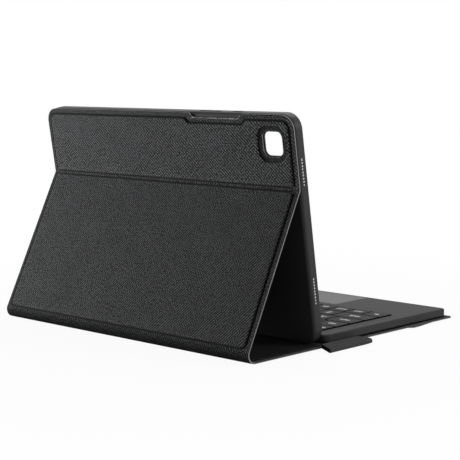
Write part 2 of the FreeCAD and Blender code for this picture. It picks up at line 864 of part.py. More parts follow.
def boss_places():
    side = kb_width / 2 - cell("boss_inset")
    front = kb_front + cell("boss_inset")
    rear = kb_rear - cell("boss_inset")
    return [(-side, front), (side, front), (-side, rear), (side, rear)]


def light_places():
    y = kb_rear - (kb_rear - well_middle - (field_depth + well_spare) / 2) / 2
    first = kb_width / 2 - cell("light_inset")
    return [(first + cell("light_pitch") * number, y) for number in range(STATUS_LIGHTS)]


def kb_outline(margin):
    """Outline of the keyboard, drawn in by margin: tighter corners in front, rounder ones behind."""
    side = kb_width / 2 - margin
    front = kb_front + margin
    rear = kb_rear - margin
    front_round = cell("kb_front_corner") - margin
    rear_round = cell("kb_corner") - margin
    return [(-side, front, front_round), (side, front, front_round), (side, rear, rear_round),
            (-side, rear, rear_round)]


def make_deck():
    body = new_body("keyboard_deck")
    shell = pad(body, "shell", kb_outline(as_size(0)), kb_low, kb_top - kb_low)
    soften(body, "top_bevel", "Chamfer", shell, lambda edge: lies_at(edge, kb_top.value),
           cell("deck_chamfer"))
    pocket(body, "inside", kb_outline(cell("deck_wall")), kb_low, deck_under - kb_low)
    well = rectangle(0, well_middle, field_width + well_spare, field_depth + well_spare,
                     cell("well_corner"))
    pocket(body, "key_well", well, deck_under, cell("deck_top"))
    gap = cell("pad_gap") * 2
    window = rectangle(0, pad_middle, cell("pad_width") + gap, cell("pad_depth") + gap,
                       cell("pad_corner") + cell("pad_gap"))
    pocket(body, "pad_window", window, deck_under, cell("deck_top"))
    pilot = cell("screw_shank") + cell("screw_shank") / 10
    for number, (x, y) in enumerate(boss_places()):
        pad(body, f"boss_{number}", octagon(x, y, cell("boss_diameter")), floor_top, deck_under - floor_top)
        pocket(body, f"pilot_{number}", octagon(x, y, pilot), floor_top, deck_under - floor_top)
    light_hole = cell("light_diameter") + cell("light_fit") * 2
    for number, (x, y) in enumerate(light_places()):
        pocket(body, f"light_hole_{number}", octagon(x, y, light_hole), deck_under, cell("deck_top"))
    fit = cell("socket_fit") * 2
    opening = rectangle(socket_middle, port_level, cell("socket_width") + fit, cell("socket_height") + fit,
                        cell("socket_height") / 2)
    through = cell("deck_wall") + cell("socket_fit") * 2
    pocket(body, "socket_opening", opening, wall_right - cell("deck_wall") - cell("socket_fit"), through,
           "YZ_Plane")
    slot_length = cell("slider_width") + cell("slider_travel") + cell("slider_fit") * 2
    slot = rectangle(slider_middle, port_level, slot_length, cell("slider_height") + cell("slider_fit") * 2)
    slot_start = wall_right - cell("deck_wall") - cell("socket_fit")
    pocket(body, "slider_slot", slot, slot_start, through, "YZ_Plane")
    keep(body)


def make_bottom():
    body = new_body("keyboard_bottom")
    pad(body, "plate", kb_outline(cell("deck_wall") + cell("bottom_fit")), kb_low, cell("bottom_thick"))
    rib = cell("guide_margin")
    rib_length = field_width + rib
    for name, y in (("front_rib", well_front - rib / 2), ("rear_rib", well_front + field_depth + rib / 2)):
        pad(body, name, rectangle(0, y, rib_length, rib / 2), floor_top, guide_low - floor_top)
    shank_hole = cell("screw_shank") + cell("screw_shank") / 5
    head_hole = cell("screw_head") + cell("screw_shank") / 5
    for number, (x, y) in enumerate(boss_places()):
        pocket(body, f"screw_hole_{number}", octagon(x, y, shank_hole), kb_low, cell("bottom_thick"))
        pocket(body, f"head_seat_{number}", octagon(x, y, head_hole), kb_low, cell("screw_head_thick"))
    keep(body)

    feet = []
    side = kb_width / 2 - cell("kb_foot_inset") - cell("kb_foot_length")
    for number, (x, y) in enumerate((
            (-side - cell("kb_foot_length"), kb_front + cell("kb_foot_inset")),
            (side, kb_front + cell("kb_foot_inset")),
            (-side - cell("kb_foot_length"), kb_rear - cell("kb_foot_inset") - cell("kb_foot_depth")),
            (side, kb_rear - cell("kb_foot_inset") - cell("kb_foot_depth")))):
        feet.append(block(f"kb_foot_{number}", x, y, base_top, cell("kb_foot_length"),
                          cell("kb_foot_depth"), cell("kb_foot_thick")))
    group("keyboard_feet", feet)

    magnets = [block(f"kb_magnet_{number}", x - cell("magnet_length") / 2, y - cell("magnet_depth") / 2,
                     floor_top, cell("magnet_length"), cell("magnet_depth"), cell("magnet_thick"))
               for number, (x, y) in enumerate(magnet_places())]
    group("keyboard_magnets", magnets)

    screws = []
    for number, (x, y) in enumerate(boss_places()):
        screw = new_body(f"kb_screw_{number}")
        pad(screw, "head", octagon(x, y, cell("screw_head")), kb_low, cell("screw_head_thick"))
        pad(screw, "shank", octagon(x, y, cell("screw_shank")), kb_low, cell("screw_length"))
        screws.append(screw)
    group("keyboard_screws", screws)


def make_charging():
    """The charging socket's shell and tongue, and the sliding power switch beside it."""
    socket = new_body("charging_socket")
    shell = rectangle(socket_middle, port_level, cell("socket_width"), cell("socket_height"),
                      cell("socket_height") / 2 - cell("socket_fit"))
    depth = cell("socket_depth")
    pad(socket, "shell", shell, wall_right - depth, depth, "YZ_Plane")
    skin = cell("socket_shell") * 2
    cavity = rectangle(socket_middle, port_level, cell("socket_width") - skin, cell("socket_height") - skin,
                       cell("socket_height") / 2 - cell("socket_fit") - cell("socket_shell"))
    pocket(socket, "cavity", cavity, wall_right - depth + skin, depth - skin, "YZ_Plane")
    tongue = rectangle(socket_middle, port_level, cell("socket_width") - skin * 3, cell("socket_tongue"))
    pad(socket, "tongue", tongue, wall_right - depth + skin, depth - skin * 2, "YZ_Plane")
    keep(socket)

    slider = new_body("power_slider")
    rest = slider_middle - cell("slider_travel") / 2
    knob = rectangle(rest, port_level, cell("slider_width"), cell("slider_height"))
    shoe = cell("slider_shoe")
    inner_face = wall_right - cell("deck_wall") - cell("slider_fit")
    pad(slider, "knob", knob, inner_face - shoe, shoe + cell("slider_fit") + cell("deck_wall")
        + cell("slider_reach"), "YZ_Plane")
    flange = rectangle(rest, port_level, cell("slider_width") + cell("slider_travel") * 2,
                       cell("slider_height") + cell("slider_fit") * 2)
    pad(slider, "shoe", flange, inner_face - shoe, shoe, "YZ_Plane")
    keep(slider)

    run = cell("slider_width") + cell("slider_travel") * 3
    switch_depth = shoe * 3
    switch_left = inner_face - shoe - cell("slider_fit") - switch_depth
    keep(block("power_switch", switch_left, slider_middle - run / 2, floor_top, switch_depth, run,
               cell("socket_height")))


def make_electronics():
    battery_end = kb_width / 2 - cell("battery_margin")
    keep(block("keyboard_battery", -battery_end, pad_middle - cell("battery_depth") / 2, floor_top,
               battery_end - module_side, cell("battery_depth"), cell("battery_thick")))
    circuit_end = kb_width / 2 - cell("circuit_margin")
    keep(block("main_board", module_side, pad_middle - cell("circuit_depth") / 2, floor_top,
               circuit_end - module_side, cell("circuit_depth"), cell("circuit_thick")))
    lights = []
    for number, (x, y) in enumerate(light_places()):
        light = new_body(f"status_light_{number}")
        pad(light, "pipe", octagon(x, y, cell("light_diameter")), deck_under, cell("deck_top"))
        lights.append(light)
    group("status_lights", lights)

    pad_body = new_body("touchpad")
    plate = rectangle(0, pad_middle, cell("pad_width"), cell("pad_depth"), cell("pad_corner"))
    pad(pad_body, "plate", plate, pad_top - cell("pad_thick"), cell("pad_thick"))
    keep(pad_body)
    under = cell("pad_board_inset")
    board_low = pad_top - cell("pad_thick") - cell("pad_board_thick")
    keep(block("touchpad_board", under - cell("pad_width") / 2, pad_front + under, board_low,
               cell("pad_width") - under * 2, cell("pad_depth") - under * 2, cell("pad_board_thick")))
    side = cell("click_side")
    keep(block("touchpad_switch", -side / 2, pad_front + under * 2, floor_top, side, side,
               board_low - cell("click_gap") - floor_top))


# Keys: caps in one shared well, each with a stem in the guide plate

def key_runs():
    """Every run of equal neighbours: node, first key's centre, its width and the count."""
    for row, runs in enumerate(ROW_KEYS):
        y = well_front + cell("well_margin") - cell("key_gap") / 2 + cell("row_pitch") * (row + 0.5)
        left = 0
        for name, *widths in runs:
            x = key_pitch * (left + widths[0] / 2) - field_width / 2
            yield name, x, y, key_pitch * widths[0] - cell("key_gap"), len(widths)
            left += sum(widths)


def make_keys():
    nodes = {}
    cap_depth = cell("row_pitch") - cell("key_gap")
    side = cell("stem_side")
    for name, x, y, cap_width, count in key_runs():
        body = new_body(f"{name}_{len(nodes.get(name, []))}")
        body.AllowCompound = True
        pad(body, "cap", cut_rectangle(x, y, cap_width, cap_depth, cell("key_corner")), key_under,
            cell("key_thick"))
        pad(body, "stem", rectangle(x, y, side, side), stem_low, key_under - stem_low)
        if count > 1:
            repeat(body, "run", "X_Axis", key_pitch * (count - 1), count)
        nodes.setdefault(name, []).append(body)
    for name, bodies in nodes.items():
        if len(bodies) == 1:
            bodies[0].Label = name
            keep(bodies[0])
        else:
            group(name, bodies)


def make_key_bed():
    """The guide plate with a hole for every stem, and the switch membrane on the floor below it."""
    margin = cell("guide_margin")
    plate = block("guide_sheet", -(field_width + margin) / 2, well_front - margin, guide_low,
                  field_width + margin, field_depth + margin * 2, cell("guide_thick"))
    side = cell("stem_side") + cell("stem_fit") * 2
    holes = doc.addObject("Part::Compound", "stem_holes")
    holes.Links = [
        block(f"{name}_hole", x + key_pitch * number - side / 2, y - side / 2, guide_low, side, side,
              cell("guide_thick"))
        for name, x, y, _, count in key_runs() for number in range(count)]
    guide = doc.addObject("Part::Cut", "key_guide_plate")
    guide.Label = "key_guide_plate"
    guide.Base = plate
    guide.Tool = holes
    keep(guide)
    keep(block("switch_membrane", -field_width / 2, well_front + cell("well_margin"), floor_top,
               field_width, field_depth - cell("well_margin") * 2, cell("membrane_thick")))


make_base()
make_kickstand()
make_top_panel()
make_spine()
make_pen_loop()
make_tray()
make_deck()
make_bottom()
make_charging()
make_electronics()
make_keys()
make_key_bed()
doc.recompute()

for thing in doc.Objects:
    if "Invalid" in thing.State or "Error" in thing.State:
        raise ValueError(f"{thing.Label} failed: {thing.State}")
    if thing.TypeId == "PartDesign::Pocket" and thing.Shape.Volume > thing.BaseFeature.Shape.Volume - 1e-6:
        raise ValueError(f"{thing.Label} cut nothing")
for part in subparts:
    if part.Shape.isNull() or not part.Shape.isValid():
        raise ValueError(f"{part.Label} has no valid shape")

os.makedirs("parts", exist_ok=True)
for part in subparts:
    part.Shape.exportStep(f"parts/{part.Label}.step")
print(len(subparts), "sub-parts written; the spine turns", round(spine_turn, 4))
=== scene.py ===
import json
import math

import bmesh
import bpy
from mathutils import Matrix, Vector


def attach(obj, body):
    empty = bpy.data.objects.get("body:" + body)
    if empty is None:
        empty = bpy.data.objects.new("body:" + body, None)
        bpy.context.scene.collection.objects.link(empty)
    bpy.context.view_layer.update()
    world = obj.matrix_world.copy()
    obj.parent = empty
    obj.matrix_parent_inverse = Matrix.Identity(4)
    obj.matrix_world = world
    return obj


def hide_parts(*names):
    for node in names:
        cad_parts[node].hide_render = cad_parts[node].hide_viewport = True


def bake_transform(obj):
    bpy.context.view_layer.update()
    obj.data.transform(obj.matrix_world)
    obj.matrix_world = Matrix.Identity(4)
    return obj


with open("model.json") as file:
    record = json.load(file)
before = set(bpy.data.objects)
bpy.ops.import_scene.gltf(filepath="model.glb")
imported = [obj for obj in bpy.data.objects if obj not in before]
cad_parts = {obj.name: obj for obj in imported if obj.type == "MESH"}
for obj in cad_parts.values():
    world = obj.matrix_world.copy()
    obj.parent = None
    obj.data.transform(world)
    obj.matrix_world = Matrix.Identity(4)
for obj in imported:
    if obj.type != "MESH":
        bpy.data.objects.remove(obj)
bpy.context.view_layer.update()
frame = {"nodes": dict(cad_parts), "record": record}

MM = 0.001

# The cover's frame, as in the CAD model, in millimetres and degrees
COVER_HALF = 126.0
COVER_CORNER = 10.0
BASE_CORNER = 3.0
BASE_BOARD_CORNER = 2.0
LEAN = math.radians(9.5)
SPINE_TURN = math.radians(116.114)
FOLD_AXIS = Vector((0.0, 70.9717, 110.6415))
BASE_HALF = 115.5
TOP_HEIGHT = 50.8
KICK_HEIGHT = 113.2
FABRIC = 0.6
RIM = 1.0
INSET = 4.0
WEB = 1.85
TRAY_HALF = 125.7
TRAY_MIDDLE = -5.95
SPEAKER_ROWS = (31.0, 114.0)
SPEAKER_PITCH = 2.15
SPEAKER_HOLES = 9
SPINE_RADIUS = 6.4
KEY_TOP = 8.7
KEY_PITCH = 16.0
ROW_PITCH = 17.4
FIELD_LEFT = -112.0
FIELD_FRONT = -56.1


# Materials

def new_material(name):
    material = bpy.data.materials.new(name)
    material.use_nodes = True
    return material, material.node_tree, material.node_tree.nodes["Principled BSDF"]


def add_node(tree, kind, inputs=None, **settings):
    """A shader node, with settings as its properties and inputs as values or linked sockets."""
    made = tree.nodes.new(kind)
    for key, value in settings.items():
        setattr(made, key, value)
    for key, value in (inputs or {}).items():
        if isinstance(value, bpy.types.NodeSocket):
            tree.links.new(value, made.inputs[key])
        else:
            made.inputs[key].default_value = value
    return made


def calc(tree, operation, first, second=0.0):
    made = add_node(tree, "ShaderNodeMath", {0: first, 1: second}, operation=operation)
    return made.outputs[0]


def remap(tree, value, low, high, to_low, to_high):
    made = add_node(tree, "ShaderNodeMapRange", {0: value, 1: low, 2: high, 3: to_low, 4: to_high})
    return made.outputs[0]


def ramp(tree, value, stops):
    made = add_node(tree, "ShaderNodeValToRGB", {0: value})
    elements = made.color_ramp.elements
    while len(elements) < len(stops):
        elements.new(0.5)
    for element, (place, colour) in zip(elements, stops):
        element.position = place
        element.color = (*colour, 1)
    return made.outputs[0]


def noise(tree, coordinates, scale, detail=2.0):
    made = add_node(tree, "ShaderNodeTexNoise", {"Vector": coordinates, "Scale": scale, "Detail": detail})
    return made.outputs[0]


def raise_surface(tree, shader, height, strength, distance):
    bump = add_node(tree, "ShaderNodeBump", {"Height": height, "Strength": strength, "Distance": distance})
    tree.links.new(bump.outputs[0], shader.inputs["Normal"])


def tinted(tree, colour, factor):
    """The colour multiplied by a factor, both of them other nodes' outputs."""
    made = add_node(tree, "ShaderNodeMix", {0: 1.0, 6: colour}, data_type="RGBA", blend_type="MULTIPLY")
    tree.links.new(factor, made.inputs[7])
    return made.outputs[2]


def grey(level, warmth=0.0):
    return (level * (1 + warmth), level, level * (1 - warmth))


def scaled(colour, factor):
    return tuple(channel * factor for channel in colour)


# Where most of a noise texture's values lie
NOISE_LOW, NOISE_HIGH = 0.3, 0.7
FINE_DETAIL = 3.0

# Twill: how its ribs wander and sway, and how its threads break up into flecks and patches
WANDER_SCALE, WANDER_REACH = 0.5, 0.7
SWAY_SCALE, SWAY_LOW, SWAY_HIGH, SWAY_SPAN = 0.09, 0.4, 0.6, 0.2
FLECK_SCALE, FLECK_LOW, FLECK_HIGH, FLECK_GAIN = 2.6, 0.32, 0.68, 1.9
THREAD_MIDDLE, THREAD_LIGHT = 0.45, 4.5
PATCH_SCALE, PATCH_SPAN = 0.035, 0.08
CLOTH_SMOOTHEST, CLOTH_ROUGHEST, SHEEN_ROUGHNESS = 0.78, 0.95, 0.4
RIB_STRENGTH = 0.8


def woven(name, colour, pitch, contrast, depth, lead=0.5, stretch=1.0, gloss=0.08):
    """Twill cloth: slanting ribs that cross, thread by thread, over the cloth's own flat map.

    The rising slant stands out by the share given as lead, and the falling one by the rest.
    The slants are steeper where stretch is above 1.
    The point attribute "shade" paints shade (below 0) or highlight (above 0) on it, such as round a board.
    """
    material, tree, shader = new_material(name)
    flat = add_node(tree, "ShaderNodeUVMap", uv_map="weave").outputs[0]
    split = add_node(tree, "ShaderNodeSeparateXYZ", {0: flat})
    across = calc(tree, "MULTIPLY", split.outputs[0], stretch)
    along = calc(tree, "DIVIDE", split.outputs[1], stretch)
    wander = calc(tree, "MULTIPLY", noise(tree, flat, WANDER_SCALE / pitch), pitch * WANDER_REACH)
    turns = 2 * math.pi / pitch
    rising = calc(tree, "ADD", calc(tree, "ADD", across, along), wander)
    falling = calc(tree, "SUBTRACT", calc(tree, "SUBTRACT", across, along), wander)
    ribs = [calc(tree, "SINE", calc(tree, "MULTIPLY", slant, turns)) for slant in (rising, falling)]
    swing = noise(tree, flat, SWAY_SCALE)
    sway = remap(tree, swing, SWAY_LOW, SWAY_HIGH, lead - SWAY_SPAN, lead + SWAY_SPAN)
    leading = calc(tree, "MULTIPLY", ribs[0], sway)
    crossing = calc(tree, "MULTIPLY", ribs[1], calc(tree, "SUBTRACT", 1.0, sway))
    height = remap(tree, calc(tree, "ADD", leading, crossing), -1.0, 1.0, 0.0, 1.0)
    fleck = noise(tree, flat, FLECK_SCALE / pitch)
    lit = calc(tree, "MULTIPLY", height, remap(tree, fleck, FLECK_LOW, FLECK_HIGH, 0.0, FLECK_GAIN))
    threads = ramp(tree, lit, [(0.0, scaled(colour, 1 - contrast)), (THREAD_MIDDLE, colour),
                               (1.0, scaled(colour, 1 + contrast * THREAD_LIGHT))])
    blotch = noise(tree, flat, PATCH_SCALE, FINE_DETAIL)
    patch = remap(tree, blotch, NOISE_LOW, NOISE_HIGH, 1 - PATCH_SPAN, 1 + PATCH_SPAN)
    # Painted shade below 0 and painted highlight above 0, from the point attribute "shade"
    painted_shade = add_node(tree, "ShaderNodeAttribute", attribute_name="shade").outputs["Fac"]
    tone = calc(tree, "MULTIPLY", patch, calc(tree, "ADD", painted_shade, 1.0))
    tree.links.new(tinted(tree, threads, tone), shader.inputs["Base Color"])
    rough = remap(tree, fleck, NOISE_LOW, NOISE_HIGH, CLOTH_SMOOTHEST, CLOTH_ROUGHEST)
    tree.links.new(rough, shader.inputs["Roughness"])
    shader.inputs["Sheen Weight"].default_value = gloss
    shader.inputs["Sheen Roughness"].default_value = SHEEN_ROUGHNESS
    shader.inputs["Specular IOR Level"].default_value = gloss
    raise_surface(tree, shader, height, RIB_STRENGTH, depth)
    return material


# Mouldings: their cloudy tone, where edges are paler, and which faces count as looking up; the others take
# painted shade
CLOUD_SCALE, CLOUD_SPAN = 18.0, 0.08
PALE_EDGE_FROM, PALE_EDGE_TO, PALE_EDGE_LIGHT = 0.52, 0.62, 1.9
UP_FROM, UP_TO = 0.55, 0.85
ROUGHNESS_SPAN = 0.06
GRAIN_DEPTH = 0.00004


def moulded(name, colour, roughness, grain_size, grain, edge_pallor=0.25, metallic=0.0, specular=0.5,
            shaded_sides=1.0):
    """Moulded, coated or plain metal surface: fine grain, uneven gloss, slightly paler edges.

    Faces that don't look up are darkened to the share given for them, as painted shade.
    """
    material, tree, shader = new_material(name)
    place = add_node(tree, "ShaderNodeTexCoord").outputs["Object"]
    cloud = noise(tree, place, CLOUD_SCALE, FINE_DETAIL)
    speckle = noise(tree, place, 1 / grain_size)
    edge = add_node(tree, "ShaderNodeNewGeometry").outputs["Pointiness"]
    pale_edge = remap(tree, edge, PALE_EDGE_FROM, PALE_EDGE_TO, 0.0, edge_pallor)
    shade = ramp(tree, remap(tree, cloud, NOISE_LOW, NOISE_HIGH, 0.0, 1.0),
                 [(0.0, scaled(colour, 1 - CLOUD_SPAN)), (1.0, scaled(colour, 1 + CLOUD_SPAN))])
    pale_edge_colour = (*scaled(colour, PALE_EDGE_LIGHT), 1)
    pale = add_node(tree, "ShaderNodeMix", {0: pale_edge, 6: shade, 7: pale_edge_colour}, data_type="RGBA")
    normal = add_node(tree, "ShaderNodeTexCoord").outputs["Normal"]
    facing = add_node(tree, "ShaderNodeSeparateXYZ", {0: normal})
    # Painted shade on faces that don't look up
    lid = remap(tree, facing.outputs[2], UP_FROM, UP_TO, shaded_sides, 1.0)
    tree.links.new(tinted(tree, pale.outputs[2], lid), shader.inputs["Base Color"])
    least, most = roughness - ROUGHNESS_SPAN, roughness + ROUGHNESS_SPAN
    rough = remap(tree, speckle, NOISE_LOW, NOISE_HIGH, least, most)
    tree.links.new(rough, shader.inputs["Roughness"])
    shader.inputs["Metallic"].default_value = metallic
    shader.inputs["Specular IOR Level"].default_value = specular
    raise_surface(tree, shader, speckle, grain, GRAIN_DEPTH)
    return material


def shade_box(material, low, high, share):
    """Darkens the material inside a box, given in millimetres, to a share of its colour."""
    tree = material.node_tree
    shader = tree.nodes["Principled BSDF"]
    colour = shader.inputs["Base Color"].links[0].from_socket
    place = add_node(tree, "ShaderNodeTexCoord").outputs["Object"]
    split = add_node(tree, "ShaderNodeSeparateXYZ", {0: place})
    inside = 1.0
    for axis in range(3):
        above = calc(tree, "GREATER_THAN", split.outputs[axis], low[axis] * MM)
        below = calc(tree, "LESS_THAN", split.outputs[axis], high[axis] * MM)
        inside = calc(tree, "MULTIPLY", inside, calc(tree, "MULTIPLY", above, below))
    darker = remap(tree, inside, 0.0, 1.0, 1.0, share)
    tree.links.new(tinted(tree, colour, darker), shader.inputs["Base Color"])


TWILL_RIBS = {"pitch": 2.5, "contrast": 1.0, "depth": 0.00016, "lead": 0.25, "stretch": 1.12}
TWILL = woven("twill", grey(0.029, -0.03), **TWILL_RIBS)
# The top panel's twill: its ribs lean the other way, and it is painted about a tenth paler than the
# kickstand's, as painted light
TOP_TWILL = woven("top_twill", grey(0.032, -0.03), pitch=2.65, contrast=1.0, depth=0.00016,
                  lead=0.75, stretch=0.97)
# The spine's twill has almost no sheen, so that its painted shade stays dark
SPINE_TWILL = woven("spine_twill", grey(0.029, -0.03), **TWILL_RIBS, gloss=0.01)
ELASTIC = woven("elastic", grey(0.036, -0.01), pitch=1.4, contrast=0.6, depth=0.00012, gloss=0.04)
LINING = woven("lining", grey(0.006), pitch=0.8, contrast=0.4, depth=0.00008, gloss=0.02)
EDGE = moulded("cut_edge", grey(0.19), roughness=0.7, grain_size=0.0004, grain=0.4, edge_pallor=0.0)
BASE_EDGE = moulded("base_cut_edge", grey(0.16), roughness=0.75, grain_size=0.0004, grain=0.4, edge_pallor=0.0)
LEGEND = moulded("legend_print", grey(0.7), roughness=0.55, grain_size=0.0003, grain=0.1, edge_pallor=0.0)
# Pale paint for the painted highlights round the sound holes
HOLE_HIGHLIGHT_PAINT = moulded("speaker_hole_highlight", grey(0.95), roughness=0.45, grain_size=0.0003, grain=0.1, edge_pallor=0.0)
# Black coat on the parts under the keys, and painted shade between the keys on the keycaps' rounded edges
BLACK = moulded("black_coat_and_gap_shade", grey(0.005), roughness=0.85, grain_size=0.0005, grain=0.2, edge_pallor=0.0,
                specular=0.02)
FINISHES = {
    "stiffener": moulded("fibre_board", (0.32, 0.31, 0.29), roughness=0.85, grain_size=0.0008, grain=0.5),
    "adhesive": moulded("foam_sheet", grey(0.03), roughness=0.9, grain_size=0.0006, grain=0.5),
    "tray": moulded("tray_moulding", grey(0.03), roughness=0.45, grain_size=0.00035, grain=0.12,
                    edge_pallor=0.35, specular=0.14),
    "shell": moulded("shell_moulding", grey(0.034, -0.01), roughness=0.6, grain_size=0.0003, grain=0.2,
                     edge_pallor=0.3, specular=0.1),
    # Keycaps: their sides are darkened almost to black, as painted shade
    "keycap": moulded("keycap_moulding", grey(0.062, -0.01), roughness=0.75, grain_size=0.0003, grain=0.2,
                      edge_pallor=0.3, specular=0.05, shaded_sides=0.03),
    "pad": moulded("pad_coating", grey(0.08, -0.01), roughness=0.45, grain_size=0.0002, grain=0.08,
                   edge_pallor=0.2, specular=0.2),
    "rubber": moulded("rubber_foot", grey(0.03), roughness=0.85, grain_size=0.0004, grain=0.3),
    "steel": moulded("plain_steel", grey(0.55), roughness=0.35, grain_size=0.0003, grain=0.15,
                     edge_pallor=0.1, metallic=1.0),
    "magnet": moulded("nickel_plate", grey(0.5, 0.03), roughness=0.28, grain_size=0.0004, grain=0.1,
                      edge_pallor=0.1, metallic=1.0),
    "circuit": moulded("solder_mask", (0.03, 0.16, 0.08), roughness=0.4, grain_size=0.0005, grain=0.2),
    "cell": moulded("foil_pouch", grey(0.6), roughness=0.35, grain_size=0.0009, grain=0.4,
                    edge_pallor=0.1, metallic=1.0),
    "film": moulded("printed_film", (0.5, 0.52, 0.55), roughness=0.3, grain_size=0.0006, grain=0.1),
    "light": moulded("light_pipe", grey(0.6), roughness=0.2, grain_size=0.0005, grain=0.05),
    "twill": TWILL,
    "lining": LINING,
    "elastic": ELASTIC,
}

# The tray's back is in shade inside the cover's notch
shade_box(FINISHES["tray"], low=(-79, 77.4, 156.8), high=(-31, 82, 159.7), share=0.1)


# Mesh building

def round_outline(corners, steps=6):
    """Points round a closed outline whose corners are (x, y, radius)."""
    points = []
    for index, (x, y, radius) in enumerate(corners):
        corner = Vector((x, y))
        back = (Vector(corners[index - 1][:2]) - corner).normalized()
        onward = (Vector(corners[(index + 1) % len(corners)][:2]) - corner).normalized()
        half = back.angle(onward) / 2
        reach = radius / math.tan(half)
        centre = corner + (back + onward).normalized() * (radius / math.sin(half))
        start = corner + back * reach - centre
        finish = corner + onward * reach - centre
        turn = math.atan2(start.cross(finish), start.dot(finish))
        for step in range(steps + 1):
            angle = turn * step / steps
            cosine, sine = math.cos(angle), math.sin(angle)
            points.append((centre.x + start.x * cosine - start.y * sine,
                           centre.y + start.x * sine + start.y * cosine))
    return points


def circle(radius, count, shift=0.0):
    turns = [2 * math.pi * step / count for step in range(count)]
    return [(radius * math.cos(turn), radius * math.sin(turn) + shift) for turn in turns]


def dress(mesh, flat, crease):
    """Smooth shading with creases above an angle in degrees, and the place on the flat cloth as UV map."""
    layer = mesh.loops.layers.uv.new("weave")
    bmesh.ops.recalc_face_normals(mesh, faces=mesh.faces)
    for face in mesh.faces:
        face.smooth = True
        for loop in face.loops:
            loop[layer].uv = flat[loop.vert]
    for edge in mesh.edges:
        edge.smooth = edge.calc_face_angle(0) < math.radians(crease)


# Degrees above which an edge is a crease
SHELL_CREASE, STRIP_CREASE = 40, 50
# Material slots of a piece of cloth: its outer face, its cut edge and its inner face
OUTSIDE, CUT, INSIDE = 0, 1, 2


class Shell:
    """A closed mesh of loops that are bridged or filled, each point with its place on the flat cloth."""

    def __init__(self, place):
        self.place = place
        self.mesh = bmesh.new()
        self.shades = self.mesh.verts.layers.float.new("shade")
        self.flat = {}

    def ring(self, points, level, shade=0.0):
        made = []
        for x, y in points:
            vertex = self.mesh.verts.new(self.place(x, y, level))
            vertex[self.shades] = shade
            self.flat[vertex] = (x, y)
            made.append(vertex)
        return made

    def band(self, first, second, paint):
        for index in range(len(first)):
            face = self.mesh.faces.new((first[index - 1], first[index], second[index], second[index - 1]))
            face.material_index = paint

    def bands(self, rings, paint):
        for first, second in zip(rings, rings[1:]):
            self.band(first, second, paint)

    def fill(self, rings, paint):
        edges = []
        for ring in rings:
            for index, vertex in enumerate(ring):
                pair = (ring[index - 1], vertex)
                edges.append(self.mesh.edges.get(pair) or self.mesh.edges.new(pair))
        made = bmesh.ops.triangle_fill(self.mesh, use_beauty=True, use_dissolve=False, edges=edges)
        for face in made["geom"]:
            if isinstance(face, bmesh.types.BMFace):
                face.material_index = paint

    def finish(self, name, materials):
        dress(self.mesh, self.flat, SHELL_CREASE)
        return make_object(name, self.mesh, materials)


def make_object(name, mesh, materials):
    data = bpy.data.meshes.new(name)
    mesh.to_mesh(data)
    mesh.free()
    for material in materials:
        data.materials.append(material)
    piece = bpy.data.objects.new(name, data)
    bpy.context.collection.objects.link(piece)
    return piece


def panel_frame(origin, down, out):
    return lambda x, along, level: (Vector((x, 0, 0)) + origin + down * along + out * level) * MM


top_down = Vector((0, -math.sin(LEAN), -math.cos(LEAN)))
top_out = Vector((0, math.cos(LEAN), -math.sin(LEAN)))
top_place = panel_frame(FOLD_AXIS - top_down * TOP_HEIGHT + top_out * (RIM / 2), top_down, top_out)
kick_down = Vector((0, -math.cos(SPINE_TURN), -math.sin(SPINE_TURN)))
kick_out = Vector((0, math.sin(SPINE_TURN), -math.cos(SPINE_TURN)))
kick_place = panel_frame(FOLD_AXIS + kick_out * (RIM / 2), kick_down, kick_out)

# How the cloth is embossed round a board: distance from the cut edge, height, and painted shade (below 0)
# or painted highlight (above 0)
GROOVE_START = 2.9
EMBOSS = ((GROOVE_START, 0.0, -0.2), (3.2, -0.1, -0.75), (3.5, -0.25, -0.93), (3.95, -0.28, -0.95),
          (4.15, 0.15, -0.93), (4.4, 0.42, -0.75), (4.8, 0.64, -0.1), (5.3, 0.8, 0.25),
          (5.9, 0.88, 0.12), (6.8, 0.9, 0.0))
EDGE_ROUND = 0.12
# The cut edge's rings, in the same columns: the rim beside it is painted darker, as painted shade
CUT_EDGE = ((0.0, -RIM, 0.0), (0.0, -EDGE_ROUND, 0.0), (EDGE_ROUND, 0.0, -0.4), (0.8, 0.0, -0.2))
FOLD_CORNER, FOOT_CORNER = 2.2, 4.0
SHARP_CORNER, LEAST_CORNER = 0.3, 0.8
# Edges with hardly any rim: where the cloth starts, where its rim ends and where the board starts
FOLD_START, FOLD_RIM = 0.5, 0.9
FOOT_START, FOOT_RIM, FOOT_BOARD = 0.0, 0.1, 0.9


def narrow_edge(margin, start, rim_end, board):
    """Distance of a ring from an edge with hardly any rim, where it would be margin from a wide one."""
    if margin <= GROOVE_START:
        return start + (rim_end - start) * margin / GROOVE_START
    if margin <= INSET:
        return rim_end + (board - rim_end) * (margin - GROOVE_START) / (INSET - GROOVE_START)
    return board + margin - INSET


def fold_edge(margin):
    return narrow_edge(margin, FOLD_START, FOLD_RIM, WEB)


def corner_at(margin, board_radius):
    """Corner radius: sharp at the cut edge, rounded at the groove and the board farther in."""
    if margin < GROOVE_START:
        return SHARP_CORNER
    return max(board_radius + INSET - margin, LEAST_CORNER)


# Top panel

NOTCH_LEFT, NOTCH_RIGHT, NOTCH_DROP, NOTCH_SLOPE = -30.0, -80.0, 3.3, 3.6
NOTCH_BEND, BEND_GROWTH = 1.0, 0.15
# Painted highlight: the cloth is painted paler along the notch's foot, where it would catch the light
NOTCH_GLEAM, GLEAM_REACH = 5.0, 0.5
LEAST_TOP_CORNER = 4.0
LENS_X, LENS_Y = -106.1, 20.0
LENS_HALF_WIDTH, LENS_HALF_HEIGHT, LENS_CORNER = 8.75, 9.0, 5.0


